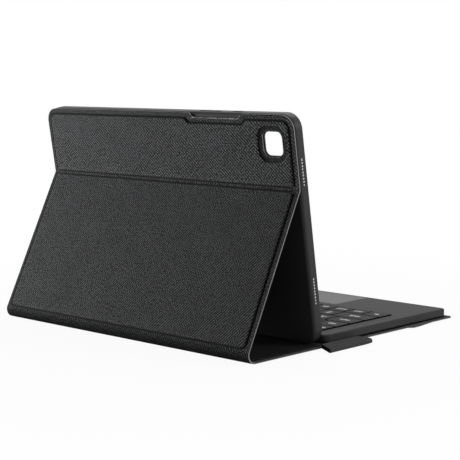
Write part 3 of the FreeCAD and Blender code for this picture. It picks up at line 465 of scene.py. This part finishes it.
def top_corners(margin):
    """Outline of the top panel, drawn in by margin; its lower edge at the fold comes in by less."""
    low = TOP_HEIGHT - fold_edge(margin)
    side = COVER_HALF - margin
    notch_left, notch_right = NOTCH_LEFT + margin, NOTCH_RIGHT - margin
    drop = margin + NOTCH_DROP
    bend = NOTCH_BEND + margin * BEND_GROWTH
    corner = max(COVER_CORNER - margin, LEAST_TOP_CORNER)
    foot = corner_at(margin, FOLD_CORNER)
    return [(-side, low, foot), (-side, margin, corner), (notch_right, margin, bend),
            (notch_right + NOTCH_SLOPE, drop, bend), (notch_left - NOTCH_SLOPE, drop, bend),
            (notch_left, margin, bend), (side, margin, corner), (side, low, foot)]


def lens_corners(grown):
    """Outline of the lens window, drawn out by grown."""
    half_width, half_height = LENS_HALF_WIDTH + grown, LENS_HALF_HEIGHT + grown
    return [(LENS_X + across * half_width, LENS_Y + along * half_height, LENS_CORNER + grown)
            for across, along in ((-1, -1), (1, -1), (1, 1), (-1, 1))]


# The ring round the lens window, and the cloth's step up and lip: growth, height, and painted shade (below
# 0) or painted highlight (above 0)
LENS_RING = 3.6
LENS_STEP = ((1.6, 0.9, 0.0), (0.9, 0.9, 0.1), (0.5, 0.83, 0.2), (0.2, 0.6, -0.2), (0.05, 0.25, -0.6),
             (-0.05, 0.0, -0.7), (-0.3, -0.04, -0.7))
LENS_LIP = ((0.7, -0.04, -0.6), (0.35, 0.0, -0.2), (0.1, -0.06, 0.0), (0.0, -0.3, 0.0), (0.0, -RIM, 0.0))


def make_top_cover():
    shell = Shell(top_place)
    edge = [shell.ring(round_outline(top_corners(margin)), *press) for margin, *press in CUT_EDGE]
    for vertex in edge[1] + edge[2]:
        x, along = shell.flat[vertex]
        if NOTCH_RIGHT < x < NOTCH_LEFT and along > NOTCH_DROP - GLEAM_REACH:
            vertex[shell.shades] = NOTCH_GLEAM
    rise = [shell.ring(round_outline(top_corners(margin)), *press) for margin, *press in EMBOSS]
    step = [shell.ring(round_outline(lens_corners(LENS_RING + grown)), *press)
            for grown, *press in LENS_STEP]
    lip = [shell.ring(round_outline(lens_corners(grown)), *press) for grown, *press in LENS_LIP]
    shell.band(edge[0], edge[1], CUT)
    shell.bands(edge[1:] + rise, OUTSIDE)
    shell.fill([rise[-1], step[0]], OUTSIDE)
    shell.bands(step + lip[:-1], OUTSIDE)
    shell.band(lip[-2], lip[-1], CUT)
    shell.fill([edge[0], lip[-1]], INSIDE)
    return shell.finish("top_cover", [TOP_TWILL, EDGE, LINING])


# Kickstand

def kick_corners(margin):
    """Outline of the kickstand, drawn in by margin; its edges at the fold and the spine come in by less."""
    side = COVER_HALF - margin
    head = fold_edge(margin)
    foot = KICK_HEIGHT - narrow_edge(margin, FOOT_START, FOOT_RIM, FOOT_BOARD)
    head_round, foot_round = corner_at(margin, FOLD_CORNER), corner_at(margin, FOOT_CORNER)
    return [(-side, head, head_round), (side, head, head_round),
            (side, foot, foot_round), (-side, foot, foot_round)]


def make_kick_cover():
    shell = Shell(kick_place)
    edge = [shell.ring(round_outline(kick_corners(margin)), *press) for margin, *press in CUT_EDGE]
    rise = [shell.ring(round_outline(kick_corners(margin)), *press) for margin, *press in EMBOSS]
    shell.band(edge[0], edge[1], CUT)
    shell.bands(edge[1:] + rise, OUTSIDE)
    shell.fill([rise[-1]], OUTSIDE)
    shell.fill([edge[0]], INSIDE)
    return shell.finish("kick_cover", [TWILL, EDGE, LINING])


# Base

TAB_REACH = 3.0
# The lift tab on the left edge: distance out, place along the edge and corner radius
TAB = ((0.0, -55.5, 0.8), (TAB_REACH, -59.5, 1.2), (TAB_REACH, -66.5, 1.5), (0.0, -88.5, 3.0))
REAR_CORNER, LEAST_BOARD_CORNER = 0.1, 0.4
UPPER_ROUND = 0.1
# Painted highlight: the lining's rim and the foot of its rise are painted paler, where they would catch the
# light
RIM_GLEAM, GROOVE_GLEAM = 13.0, 7.0


def base_corners(margin, tab=True):
    """Outline of the base, drawn in by margin, with its lift tab or, round the board, without."""
    side, end = COVER_HALF - margin, BASE_HALF - margin
    rounding = BASE_CORNER if tab else max(BASE_BOARD_CORNER + INSET - margin, LEAST_BOARD_CORNER)
    rear = REAR_CORNER if tab else rounding
    corners = [(-side, -end, rounding), (side, -end, rounding), (side, end, rear), (-side, end, rear)]
    if tab:
        corners += [(-side - out, along, radius) for out, along, radius in TAB]
    return corners


def make_base_cover():
    shell = Shell(lambda x, y, level: Vector((x, y, level)) * MM)
    under = shell.ring(round_outline(base_corners(0.0)), 0.0)
    fabric_edge = shell.ring(round_outline(base_corners(0.0)), FABRIC)
    upper_edge = shell.ring(round_outline(base_corners(0.0)), RIM - UPPER_ROUND)
    rim = shell.ring(round_outline(base_corners(EDGE_ROUND)), RIM, RIM_GLEAM)
    rise = []
    for margin, level, _ in EMBOSS:
        outline = round_outline(base_corners(margin, tab=False))
        rise.append(shell.ring(outline, RIM + level, GROOVE_GLEAM if level == 0 else 0.0))
    shell.fill([under], OUTSIDE)
    shell.band(under, fabric_edge, CUT)
    shell.band(fabric_edge, upper_edge, INSIDE)
    shell.band(upper_edge, rim, INSIDE)
    shell.fill([rim, rise[0]], INSIDE)
    shell.bands(rise, INSIDE)
    shell.fill([rise[-1]], INSIDE)
    return shell.finish("base_cover", [TWILL, BASE_EDGE, LINING])


# Spine and fold: the curved cloth at the hinges

STRIP_COLUMNS = 16


def strip(name, profile, half_width, materials, shades):
    """A strip of cloth across the case, from its outer and inner profile in (y, z), outer first."""
    mesh = bmesh.new()
    shade_layer = mesh.verts.layers.float.new("shade")
    flat = {}
    columns = []
    for number in range(STRIP_COLUMNS + 1):
        x = half_width * (2 * number / STRIP_COLUMNS - 1)
        column = []
        for points in profile:
            length = 0.0
            row = []
            for index, point in enumerate(points):
                if index:
                    length += (Vector(point) - Vector(points[index - 1])).length
                vertex = mesh.verts.new(Vector((x, *point)) * MM)
                vertex[shade_layer] = shades[index]
                flat[vertex] = (x, length)
                row.append(vertex)
            column.append(row)
        columns.append(column)
    last = len(shades) - 1
    for (outer, inner), (next_outer, next_inner) in zip(columns, columns[1:]):
        for index in range(last):
            after = index + 1
            mesh.faces.new((outer[index], outer[after], next_outer[after], next_outer[index]))
            face = mesh.faces.new((inner[index], next_inner[index], next_inner[after], inner[after]))
            face.material_index = INSIDE
        for index in (0, last):
            face = mesh.faces.new((outer[index], next_outer[index], next_inner[index], inner[index]))
            face.material_index = CUT
    for outer, inner in (columns[0], columns[-1]):
        for index in range(last):
            after = index + 1
            face = mesh.faces.new((outer[index], outer[after], inner[after], inner[index]))
            face.material_index = CUT
    dress(mesh, flat, STRIP_CREASE)
    return make_object(name, mesh, materials)


def spine_point(radius, share):
    angle = SPINE_TURN * share
    return (BASE_HALF + radius * math.sin(angle), SPINE_RADIUS - radius * math.cos(angle))


def make_spine_cover():
    steps = 20
    # Painted shade: the spine is painted darker towards the desk, where it turns down
    deepest_painted_shade = -0.97
    profile = [[spine_point(radius, step / steps) for step in range(steps + 1)]
               for radius in (SPINE_RADIUS, SPINE_RADIUS - RIM)]
    shades = [deepest_painted_shade * (1 - (step / steps) ** 2) for step in range(steps + 1)]
    return strip("spine_cover", profile, COVER_HALF, [SPINE_TWILL, EDGE, LINING], shades)


def make_fold_cover():
    """The narrow web of cloth between the two panels, hollow on its outer face."""
    steps = 8
    # Painted shade: the web is painted slightly darker in the fold
    shade = -0.2

    def curve(level):
        first = top_place(0, TOP_HEIGHT - FOLD_START, level) / MM
        last = kick_place(0, FOLD_START, level) / MM
        middle = (top_place(0, TOP_HEIGHT, level) + kick_place(0, 0, level)) / (2 * MM)
        points = []
        for step in range(steps + 1):
            share = step / steps
            point = first * (1 - share) ** 2 + middle * 2 * share * (1 - share) + last * share ** 2
            points.append((point.y, point.z))
        return points

    profile = [curve(0.0), curve(-RIM)]
    return strip("fold_cover", profile, COVER_HALF, [TWILL, EDGE, LINING], [shade] * (steps + 1))


# Pen loop: a band folded back on itself and sewn along two lines

LOOP_ROOT, LOOP_TIP = -126.15, -141.5
LOOP_FRONT, LOOP_REAR, LOOP_REAR_ROOT = 5.5, 56.0, 46.5
LOOP_HEIGHT, LOOP_WALL, LOOP_AROUND = 3.1, 0.7, 33.2
LOOP_CLEAR, LOOP_CROWN, CROWN_SPAN = 0.05, 0.12, 8
LOOP_CORNER, LOOP_WAVE, WAVE_TURN = 5.0, 0.12, 6.0
TOP_STEPS, TIP_STEPS, BOTTOM_STEPS = 28, 10, 6
LOOP_ROWS, FRONT_ROW = 18, 0.024
SEAMS = (-131.0, -137.0)
SEAM_WIDTH, SEAM_DEPTH, SEAM_SHARE_INSIDE = 0.32, 0.32, 0.4
SEAM_PAST_ROOT, SEAM_FROM_FRONT = 1.0, 2.5


def loop_section(inward):
    """The sleeve's outline in x and z, drawn in by inward, from the root over the top and back below."""
    radius = LOOP_HEIGHT / 2
    centre = LOOP_TIP + radius
    middle = (LOOP_ROOT + centre) / 2
    low, high = LOOP_CLEAR + inward, LOOP_HEIGHT - inward
    seam_share = 1 if inward == 0 else SEAM_SHARE_INSIDE
    top = []
    for step in range(TOP_STEPS + 1):
        x = LOOP_ROOT - inward + (centre - LOOP_ROOT + inward) * step / TOP_STEPS
        dip = sum(math.exp(-((x - seam) / SEAM_WIDTH) ** 2) for seam in SEAMS) * SEAM_DEPTH * seam_share
        top.append((x, high - dip - LOOP_CROWN * ((x - middle) / CROWN_SPAN) ** 2))
    tip = []
    for step in range(1, TIP_STEPS):
        angle = math.pi / 2 + math.pi * step / TIP_STEPS
        tip.append((centre + (radius - inward) * math.cos(angle),
                    radius + (radius - inward - LOOP_CLEAR) * math.sin(angle)))
    bottom = [(centre + (LOOP_ROOT - inward - centre) * step / BOTTOM_STEPS, low)
              for step in range(BOTTOM_STEPS + 1)]
    return top + tip + bottom


def make_pen_loop():
    """The sleeve as two skins joined at both ends, its front corner rounded and its rear end slanting."""
    mesh = bmesh.new()
    flat = {}
    skins = []
    for inward in (0.0, LOOP_WALL):
        section = loop_section(inward)
        skin = []
        for number in range(LOOP_ROWS + 1):
            part = number / LOOP_ROWS
            if number in (1, 2):
                part = number * FRONT_ROW
            corner = max(0.0, LOOP_CORNER - part * (LOOP_REAR - LOOP_FRONT))
            trim = LOOP_CORNER - math.sqrt(LOOP_CORNER * LOOP_CORNER - corner * corner)
            lift = LOOP_WAVE * math.sin(part * WAVE_TURN)
            ring = []
            length = 0.0
            for index, (x, z) in enumerate(section):
                share = (x - LOOP_ROOT) / (LOOP_TIP - LOOP_ROOT)
                rear = LOOP_REAR_ROOT + (LOOP_REAR - LOOP_REAR_ROOT) * max(0.0, share)
                y = LOOP_FRONT + (rear - LOOP_FRONT) * part
                if index:
                    length += (Vector((x, z)) - Vector(section[index - 1])).length
                raised = 0.0
                if z > LOOP_HEIGHT / 2:
                    raised = lift * math.sin(math.pi * max(0.0, min(1.0, share)))
                vertex = mesh.verts.new(Vector((x + trim * max(0.0, share), y, z + raised)) * MM)
                flat[vertex] = (length, y)
                ring.append(vertex)
            skin.append(ring)
        skins.append(skin)
    for skin in skins:
        for first, second in zip(skin, skin[1:]):
            for index in range(len(first)):
                mesh.faces.new((first[index - 1], first[index], second[index], second[index - 1]))
    for end in (0, -1):
        outer, inner = skins[0][end], skins[1][end]
        for index in range(len(outer)):
            face = mesh.faces.new((outer[index - 1], outer[index], inner[index], inner[index - 1]))
            face.material_index = CUT
    dress(mesh, flat, STRIP_CREASE)
    return make_object("pen_sleeve", mesh, [ELASTIC, LINING])


STITCH_STEPS, STITCH_SIDES = 4, 6
# In thread radii: how far a stitch arches up, how deep its ends sit, and its thickness at the ends
STITCH_ARCH, STITCH_SINK, STITCH_END = 1.1, 0.4, 0.55
# How far the seam lies below the loop's top
STITCH_DEPTH = 0.3


def make_stitches(name, runs, place, length, gap, radius):
    """Thread stitches along straight runs: each one a short rod that dips into the cloth at both ends."""
    mesh = bmesh.new()
    layer = mesh.loops.layers.uv.new("weave")
    for start, finish in runs:
        way = Vector(finish) - Vector(start)
        count = int(way.length / (length + gap))
        along = way.normalized()
        for number in range(count):
            first = Vector(start) + along * (number * (length + gap) + gap / 2)
            rings = []
            for step in range(STITCH_STEPS + 1):
                share = step / STITCH_STEPS
                arch = math.sin(math.pi * share)
                level = radius * STITCH_ARCH * arch - radius * STITCH_SINK
                centre = place(first + along * (length * share), level)
                size = radius * MM * (STITCH_END + (1 - STITCH_END) * arch)
                side = (place(first + Vector((-along.y, along.x)), 0) - place(first, 0)).normalized()
                up = (place(first, 1) - place(first, 0)).normalized()
                rings.append([mesh.verts.new(centre + side * across + up * high)
                              for across, high in circle(size, STITCH_SIDES)])
            for one, two in zip(rings, rings[1:]):
                for index in range(STITCH_SIDES):
                    mesh.faces.new((one[index - 1], one[index], two[index], two[index - 1]))
            mesh.faces.new(rings[0])
            mesh.faces.new(rings[-1])
    bmesh.ops.recalc_face_normals(mesh, faces=mesh.faces)
    for face in mesh.faces:
        face.smooth = True
        for loop in face.loops:
            loop[layer].uv = (loop.vert.co.x / MM, loop.vert.co.y / MM)
    return make_object(name, mesh, [ELASTIC])


def loop_top(point, level):
    """A place on the pen loop's seam, level above it."""
    return Vector((point.x, point.y, LOOP_HEIGHT - STITCH_DEPTH + level)) * MM


# Key legends, from the user's left, front row first: body, width in key pitches, legends

ROWS = (
    (("fn_key", 1.1, ["fn"]), ("modifier_keys", 1, ["ctrl", "cmd", "alt"]), ("space_bar", 4.9, [""]),
     ("modifier_keys", 1, ["alt", "ctrl"]), ("left_arrow_key", 1, ["left"]),
     ("down_arrow_key", 1, ["down"]), ("right_arrow_key", 1, ["right"])),
    (("left_shift_key", 2, ["shift"]), ("bottom_letter_keys", 1, list("ZXCVBNM,./")),
     ("up_arrow_key", 1, ["up"]), ("right_shift_key", 1, ["shift"])),
    (("caps_lock_key", 1.5, ["caps"]), ("home_letter_keys", 1, list("ASDFGHJKL;'")),
     ("enter_key", 1.5, ["enter"])),
    (("tab_key", 1.25, ["tab"]), ("top_letter_keys", 1, list("QWERTYUIOP[]")),
     ("backslash_key", 0.75, ["\\"])),
    (("escape_key", 0.75, ["esc"]), ("number_keys", 1, list("1234567890-=")),
     ("backspace_key", 1.25, ["back"])),
)
ARROWS = {"left": 90, "down": 180, "right": -90, "up": 0}
ARROW_SHAPE = ((-1.7, -1.1), (1.7, -1.1), (0.0, 1.5))
LETTER_SIZE, WORD_SIZE = 7.0, 5.4
STROKE_GROWTH = 0.13
PRINT_THICK = 0.02


def add_word(mesh, word, size, x, y):
    """Adds the word's outline, centred at x and y, as a thin raised print on the key's top."""
    curve = bpy.data.curves.new("word", "FONT")
    curve.body = word
    curve.size = size * MM
    curve.align_x = "CENTER"
    curve.align_y = "CENTER"
    curve.extrude = PRINT_THICK * MM / 2
    curve.offset = STROKE_GROWTH * MM
    curve.resolution_u = 3
    carrier = bpy.data.objects.new("word", curve)
    bpy.context.collection.objects.link(carrier)
    bpy.context.view_layer.update()
    data = bpy.data.meshes.new_from_object(carrier.evaluated_get(bpy.context.evaluated_depsgraph_get()))
    data.transform(Matrix.Translation(Vector((x, y, KEY_TOP + PRINT_THICK / 2)) * MM))
    mesh.from_mesh(data)
    bpy.data.objects.remove(carrier)
    bpy.data.curves.remove(curve)
    bpy.data.meshes.remove(data)


def add_arrow(mesh, degrees, x, y):
    """Adds a printed arrow head, centred at x and y and turned by degrees from pointing away."""
    turn = Matrix.Rotation(math.radians(degrees), 3, "Z")
    low = []
    high = []
    for corner in ARROW_SHAPE:
        at = turn @ Vector((*corner, 0)) + Vector((x, y, KEY_TOP))
        low.append(mesh.verts.new(at * MM))
        high.append(mesh.verts.new((at + Vector((0, 0, PRINT_THICK))) * MM))
    mesh.faces.new(low[::-1])
    mesh.faces.new(high)
    for index in range(len(low)):
        mesh.faces.new((low[index - 1], low[index], high[index], high[index - 1]))


def make_legends():
    prints = {}
    for row, runs in enumerate(ROWS):
        y = FIELD_FRONT + ROW_PITCH * (row + 0.5)
        left = 0.0
        for body, key_width, legends in runs:
            for legend in legends:
                x = FIELD_LEFT + KEY_PITCH * (left + key_width / 2)
                left += key_width
                if not legend:
                    continue
                if body not in prints:
                    prints[body] = bmesh.new()
                if legend in ARROWS:
                    add_arrow(prints[body], ARROWS[legend], x, y)
                else:
                    size = LETTER_SIZE if len(legend) == 1 else WORD_SIZE
                    add_word(prints[body], legend, size, x, y)
    for body, mesh in prints.items():
        piece = make_object(body + "_print", mesh, [LEGEND])
        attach(piece, body)


# Small pieces: painted highlights round the sound holes, and the keyboard's screws

# Rings of each painted highlight: radius, shift towards the cover and lift off the tray's side
HIGHLIGHT_RINGS = ((0.62, 0.3, -0.1), (0.62, 0.3, 0.05), (0.3, 0.02, 0.05), (0.3, 0.02, -0.1))
HIGHLIGHT_SIDES = 12


def make_speaker_hole_highlights():
    """Painted highlight round each sound hole: a thin pale ring, wider on the side of the cover."""
    mesh = bmesh.new()
    for side in (-1, 1):
        for first in SPEAKER_ROWS:
            for number in range(SPEAKER_HOLES):
                along = first + SPEAKER_PITCH * number
                rings = []
                for radius, shift, lift in HIGHLIGHT_RINGS:
                    x = side * (TRAY_HALF + lift)
                    rings.append([mesh.verts.new(top_place(x, along + down, TRAY_MIDDLE + level))
                                  for down, level in circle(radius, HIGHLIGHT_SIDES, shift)])
                for one, two in zip(rings, rings[1:]):
                    for index in range(len(one)):
                        mesh.faces.new((one[index - 1], one[index], two[index], two[index - 1]))
    bmesh.ops.recalc_face_normals(mesh, faces=mesh.faces)
    return make_object("speaker_hole_highlights", mesh, [HOLE_HIGHLIGHT_PAINT])


SCREW_X, SCREW_FRONT, SCREW_REAR, SCREW_FACE = 118.3, -103.3, 34.3, 2.5
SCREW_SIDES = 16
ARM_REACH, ARM_HALF_WIDTH = 0.85, 0.17
RECESS_LOW, RECESS_HIGH = 0.02, 0.34
CREST, ROOT = 0.58, 0.46
SHANK_START, RIDGE_STEP, RIDGE_STEPS = 0.5, 0.3, 6
# The head's rings and the tip: radius, and level above the cover's face
HEAD = ((1.38, RECESS_LOW), (1.48, 0.1), (1.48, SHANK_START), (CREST, SHANK_START))
TIP_RADIUS, TIP_LEVEL = 0.3, 2.58


def make_screw(number, centre_x, centre_y):
    """A pan-head screw seen from below: crossed recess, head and a ridged shank."""
    shell = Shell(lambda x, y, level: Vector((centre_x + x, centre_y + y, SCREW_FACE + level)) * MM)
    arm = ((ARM_REACH, -ARM_HALF_WIDTH), (ARM_REACH, ARM_HALF_WIDTH), (ARM_HALF_WIDTH, ARM_HALF_WIDTH))
    cross = []
    for turn in range(4):
        cosine, sine = math.cos(math.pi * turn / 2), math.sin(math.pi * turn / 2)
        for x, y in arm:
            cross.append((x * cosine - y * sine, x * sine + y * cosine))
    recess = [shell.ring(cross, level) for level in (RECESS_LOW, RECESS_HIGH)]
    body = [shell.ring(circle(radius, SCREW_SIDES), level) for radius, level in HEAD]
    for step in range(1, RIDGE_STEPS + 1):
        radius = CREST if step % 2 else ROOT
        body.append(shell.ring(circle(radius, SCREW_SIDES), SHANK_START + RIDGE_STEP * step))
    body.append(shell.ring(circle(TIP_RADIUS, SCREW_SIDES), TIP_LEVEL))
    shell.fill([body[0], recess[0]], OUTSIDE)
    shell.bands(recess, OUTSIDE)
    shell.fill([recess[1]], OUTSIDE)
    shell.bands(body, OUTSIDE)
    shell.fill([body[-1]], OUTSIDE)
    return shell.finish(f"keyboard_screw_{number}", [FINISHES["steel"]])


# Pieces

top_cover = make_top_cover()
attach(top_cover, "top")
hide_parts("top_panel_fabric", "top_panel_lining")

kick_cover = make_kick_cover()
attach(kick_cover, "kickstand")
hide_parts("kickstand_fabric", "kickstand_lining")

base_cover = make_base_cover()
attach(base_cover, "base")
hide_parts("base_fabric", "base_lining")

spine_cover = make_spine_cover()
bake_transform(spine_cover)
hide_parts("spine_lower", "spine_middle", "spine_upper")

fold_cover = make_fold_cover()
fold_start = kick_place(0, FOLD_START, -RIM / 2)
fold_end = top_place(0, TOP_HEIGHT - FOLD_START, -RIM / 2)
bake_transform(fold_cover)
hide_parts("fold_web")

pen_sleeve = make_pen_loop()
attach(pen_sleeve, "base")
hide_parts("pen_loop")
loop_runs = [((seam, LOOP_REAR_ROOT + SEAM_PAST_ROOT), (seam, LOOP_FRONT + SEAM_FROM_FRONT))
             for seam in SEAMS]
loop_stitches = make_stitches("pen_sleeve_stitches", loop_runs, loop_top, length=2.2, gap=0.6, radius=0.22)
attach(loop_stitches, "base")

make_legends()

speaker_hole_highlights = make_speaker_hole_highlights()
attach(speaker_hole_highlights, "top")

screw_places = [(x, y) for x in (-SCREW_X, SCREW_X) for y in (SCREW_FRONT, SCREW_REAR)]
for number, (x, y) in enumerate(screw_places):
    screw = make_screw(number, x, y)
    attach(screw, "keyboard")
    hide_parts("keyboard_screws")

# CAD nodes: finishes, and softened edges where they show
slots = {row["node"]: row["material_slot"] for row in frame["record"]["subparts"]}
BLACKENED = ("key_guide_plate", "keyboard_bottom", "switch_membrane")
# The root of a key's stem is rounded too, so this stays under the stem's fit in the guide plate
KEY_EDGE = 0.18
SOFTENED = {"tray_shell": 0.25, "keyboard_deck": 0.3, "touchpad": 0.15, "power_slider": 0.1}
WELD_REACH = 0.000002
SOFT_STEPS, SOFT_ANGLE = 2, 35
for name, carrier in frame["nodes"].items():
    carrier.data.materials.clear()
    carrier.data.materials.append(BLACK if name in BLACKENED else FINISHES[slots[name]])
    softness = SOFTENED.get(name)
    if slots[name] == "keycap":
        softness = KEY_EDGE
        # The keycaps' rounded edges take the black coat, as painted shade in the gaps between keys
        carrier.data.materials.append(BLACK)
    if softness:
        carrier.modifiers.new("weld", "WELD").merge_threshold = WELD_REACH
        rounding = carrier.modifiers.new("rounding", "BEVEL")
        rounding.width = softness * MM
        rounding.segments = SOFT_STEPS
        rounding.material = len(carrier.data.materials) - 1
        rounding.limit_method = "ANGLE"
        rounding.angle_limit = math.radians(SOFT_ANGLE)


# Stage, lights and camera, in metres

FLOOR_HALF, FLOOR_DROP = 6.0, 0.0004
FLOOR_COLOUR, FLOOR_ROUGHNESS = (0.85, 0.85, 0.85, 1), 0.9
WHITE = (1, 1, 1, 1)
# The floor shows as white, and nearest the object also as lit, so that shadows show there
SHADOW_NEAR, SHADOW_FAR, WHITE_LEAST = 0.2, 0.5, 0.94
SKY_LIGHT = 0.1


def backdrop_rays(tree):
    """1 for the rays that show the white backdrop itself, 0 for those that light the object."""
    paths = add_node(tree, "ShaderNodeLightPath")
    mirrored = calc(tree, "MAXIMUM", paths.outputs["Is Glossy Ray"], paths.outputs["Is Transmission Ray"])
    return calc(tree, "MAXIMUM", paths.outputs["Is Camera Ray"], mirrored)


ground = bmesh.new()
bmesh.ops.create_grid(ground, x_segments=1, y_segments=1, size=FLOOR_HALF)
floor_paint, floor_tree, floor_shader = new_material("floor")
floor = make_object("floor", ground, [floor_paint])
floor.location.z = -FLOOR_DROP
floor_shader.inputs["Base Color"].default_value = FLOOR_COLOUR
floor_shader.inputs["Roughness"].default_value = FLOOR_ROUGHNESS
seen = backdrop_rays(floor_tree)
glow = add_node(floor_tree, "ShaderNodeEmission", {"Color": WHITE, "Strength": 1.0})
ground_place = add_node(floor_tree, "ShaderNodeTexCoord").outputs["Object"]
away = add_node(floor_tree, "ShaderNodeVectorMath", {0: ground_place}, operation="LENGTH").outputs["Value"]
whiteness = remap(floor_tree, away, SHADOW_NEAR, SHADOW_FAR, WHITE_LEAST, 1.0)
share = calc(floor_tree, "MULTIPLY", seen, whiteness)
surfaces = {0: share, 1: floor_shader.outputs[0], 2: glow.outputs[0]}
mixed = add_node(floor_tree, "ShaderNodeMixShader", surfaces)
floor_tree.links.new(mixed.outputs[0], floor_tree.nodes["Material Output"].inputs["Surface"])

world = bpy.data.worlds.new("studio")
bpy.context.scene.world = world
world.use_nodes = True
sky_tree = world.node_tree
sky = sky_tree.nodes["Background"]
strength = remap(sky_tree, backdrop_rays(sky_tree), 0.0, 1.0, SKY_LIGHT, 1.0)
sky_tree.links.new(strength, sky.inputs["Strength"])
sky.inputs["Color"].default_value = WHITE


def add_light(name, place, target, size, watts):
    lamp = bpy.data.lights.new(name, "AREA")
    lamp.shape = "SQUARE"
    lamp.size = size
    lamp.energy = watts
    holder = bpy.data.objects.new(name, lamp)
    bpy.context.collection.objects.link(holder)
    holder.location = place
    holder.rotation_euler = (Vector(target) - Vector(place)).to_track_quat("-Z", "Y").to_euler()


add_light("key", place=(0.8, 0.38, 0.04), target=(0, 0.06, 0.14), size=0.3, watts=14.0)
add_light("side", place=(-0.9, -0.4, 0.5), target=(-0.12, 0.07, 0.1), size=0.4, watts=6.0)
add_light("above", place=(0.4, -0.8, 1.5), target=(0, 0, 0), size=1.2, watts=13.0)

# The camera as fitted to the photo: lengths in the picture are in pixels
PICTURE_WIDTH, FOCAL_LENGTH, SIDE_SHIFT = 460, 1317.19, 0.7
SENSOR_WIDTH = 36.0
CAMERA_PLACE = (-0.68531, 0.74394, 0.18629)
CAMERA_RIGHT = Vector((-0.73331, -0.67989, 0.00277))
CAMERA_UP = Vector((0.08102, -0.08334, 0.99322))
CAMERA_BACK = Vector((-0.67505, 0.72856, 0.11620))

lens = bpy.data.cameras.new("camera")
lens.sensor_fit = "HORIZONTAL"
lens.sensor_width = SENSOR_WIDTH
lens.lens = SENSOR_WIDTH * FOCAL_LENGTH / PICTURE_WIDTH
lens.clip_start = 0.05
lens.shift_x = SIDE_SHIFT / PICTURE_WIDTH
viewer = bpy.data.objects.new("camera", lens)
bpy.context.collection.objects.link(viewer)
turned = Matrix((CAMERA_RIGHT, CAMERA_UP, CAMERA_BACK)).transposed().to_4x4()
viewer.matrix_world = Matrix.Translation(CAMERA_PLACE) @ turned
bpy.context.scene.camera = viewer
bpy.context.scene.view_settings.view_transform = "Standard"
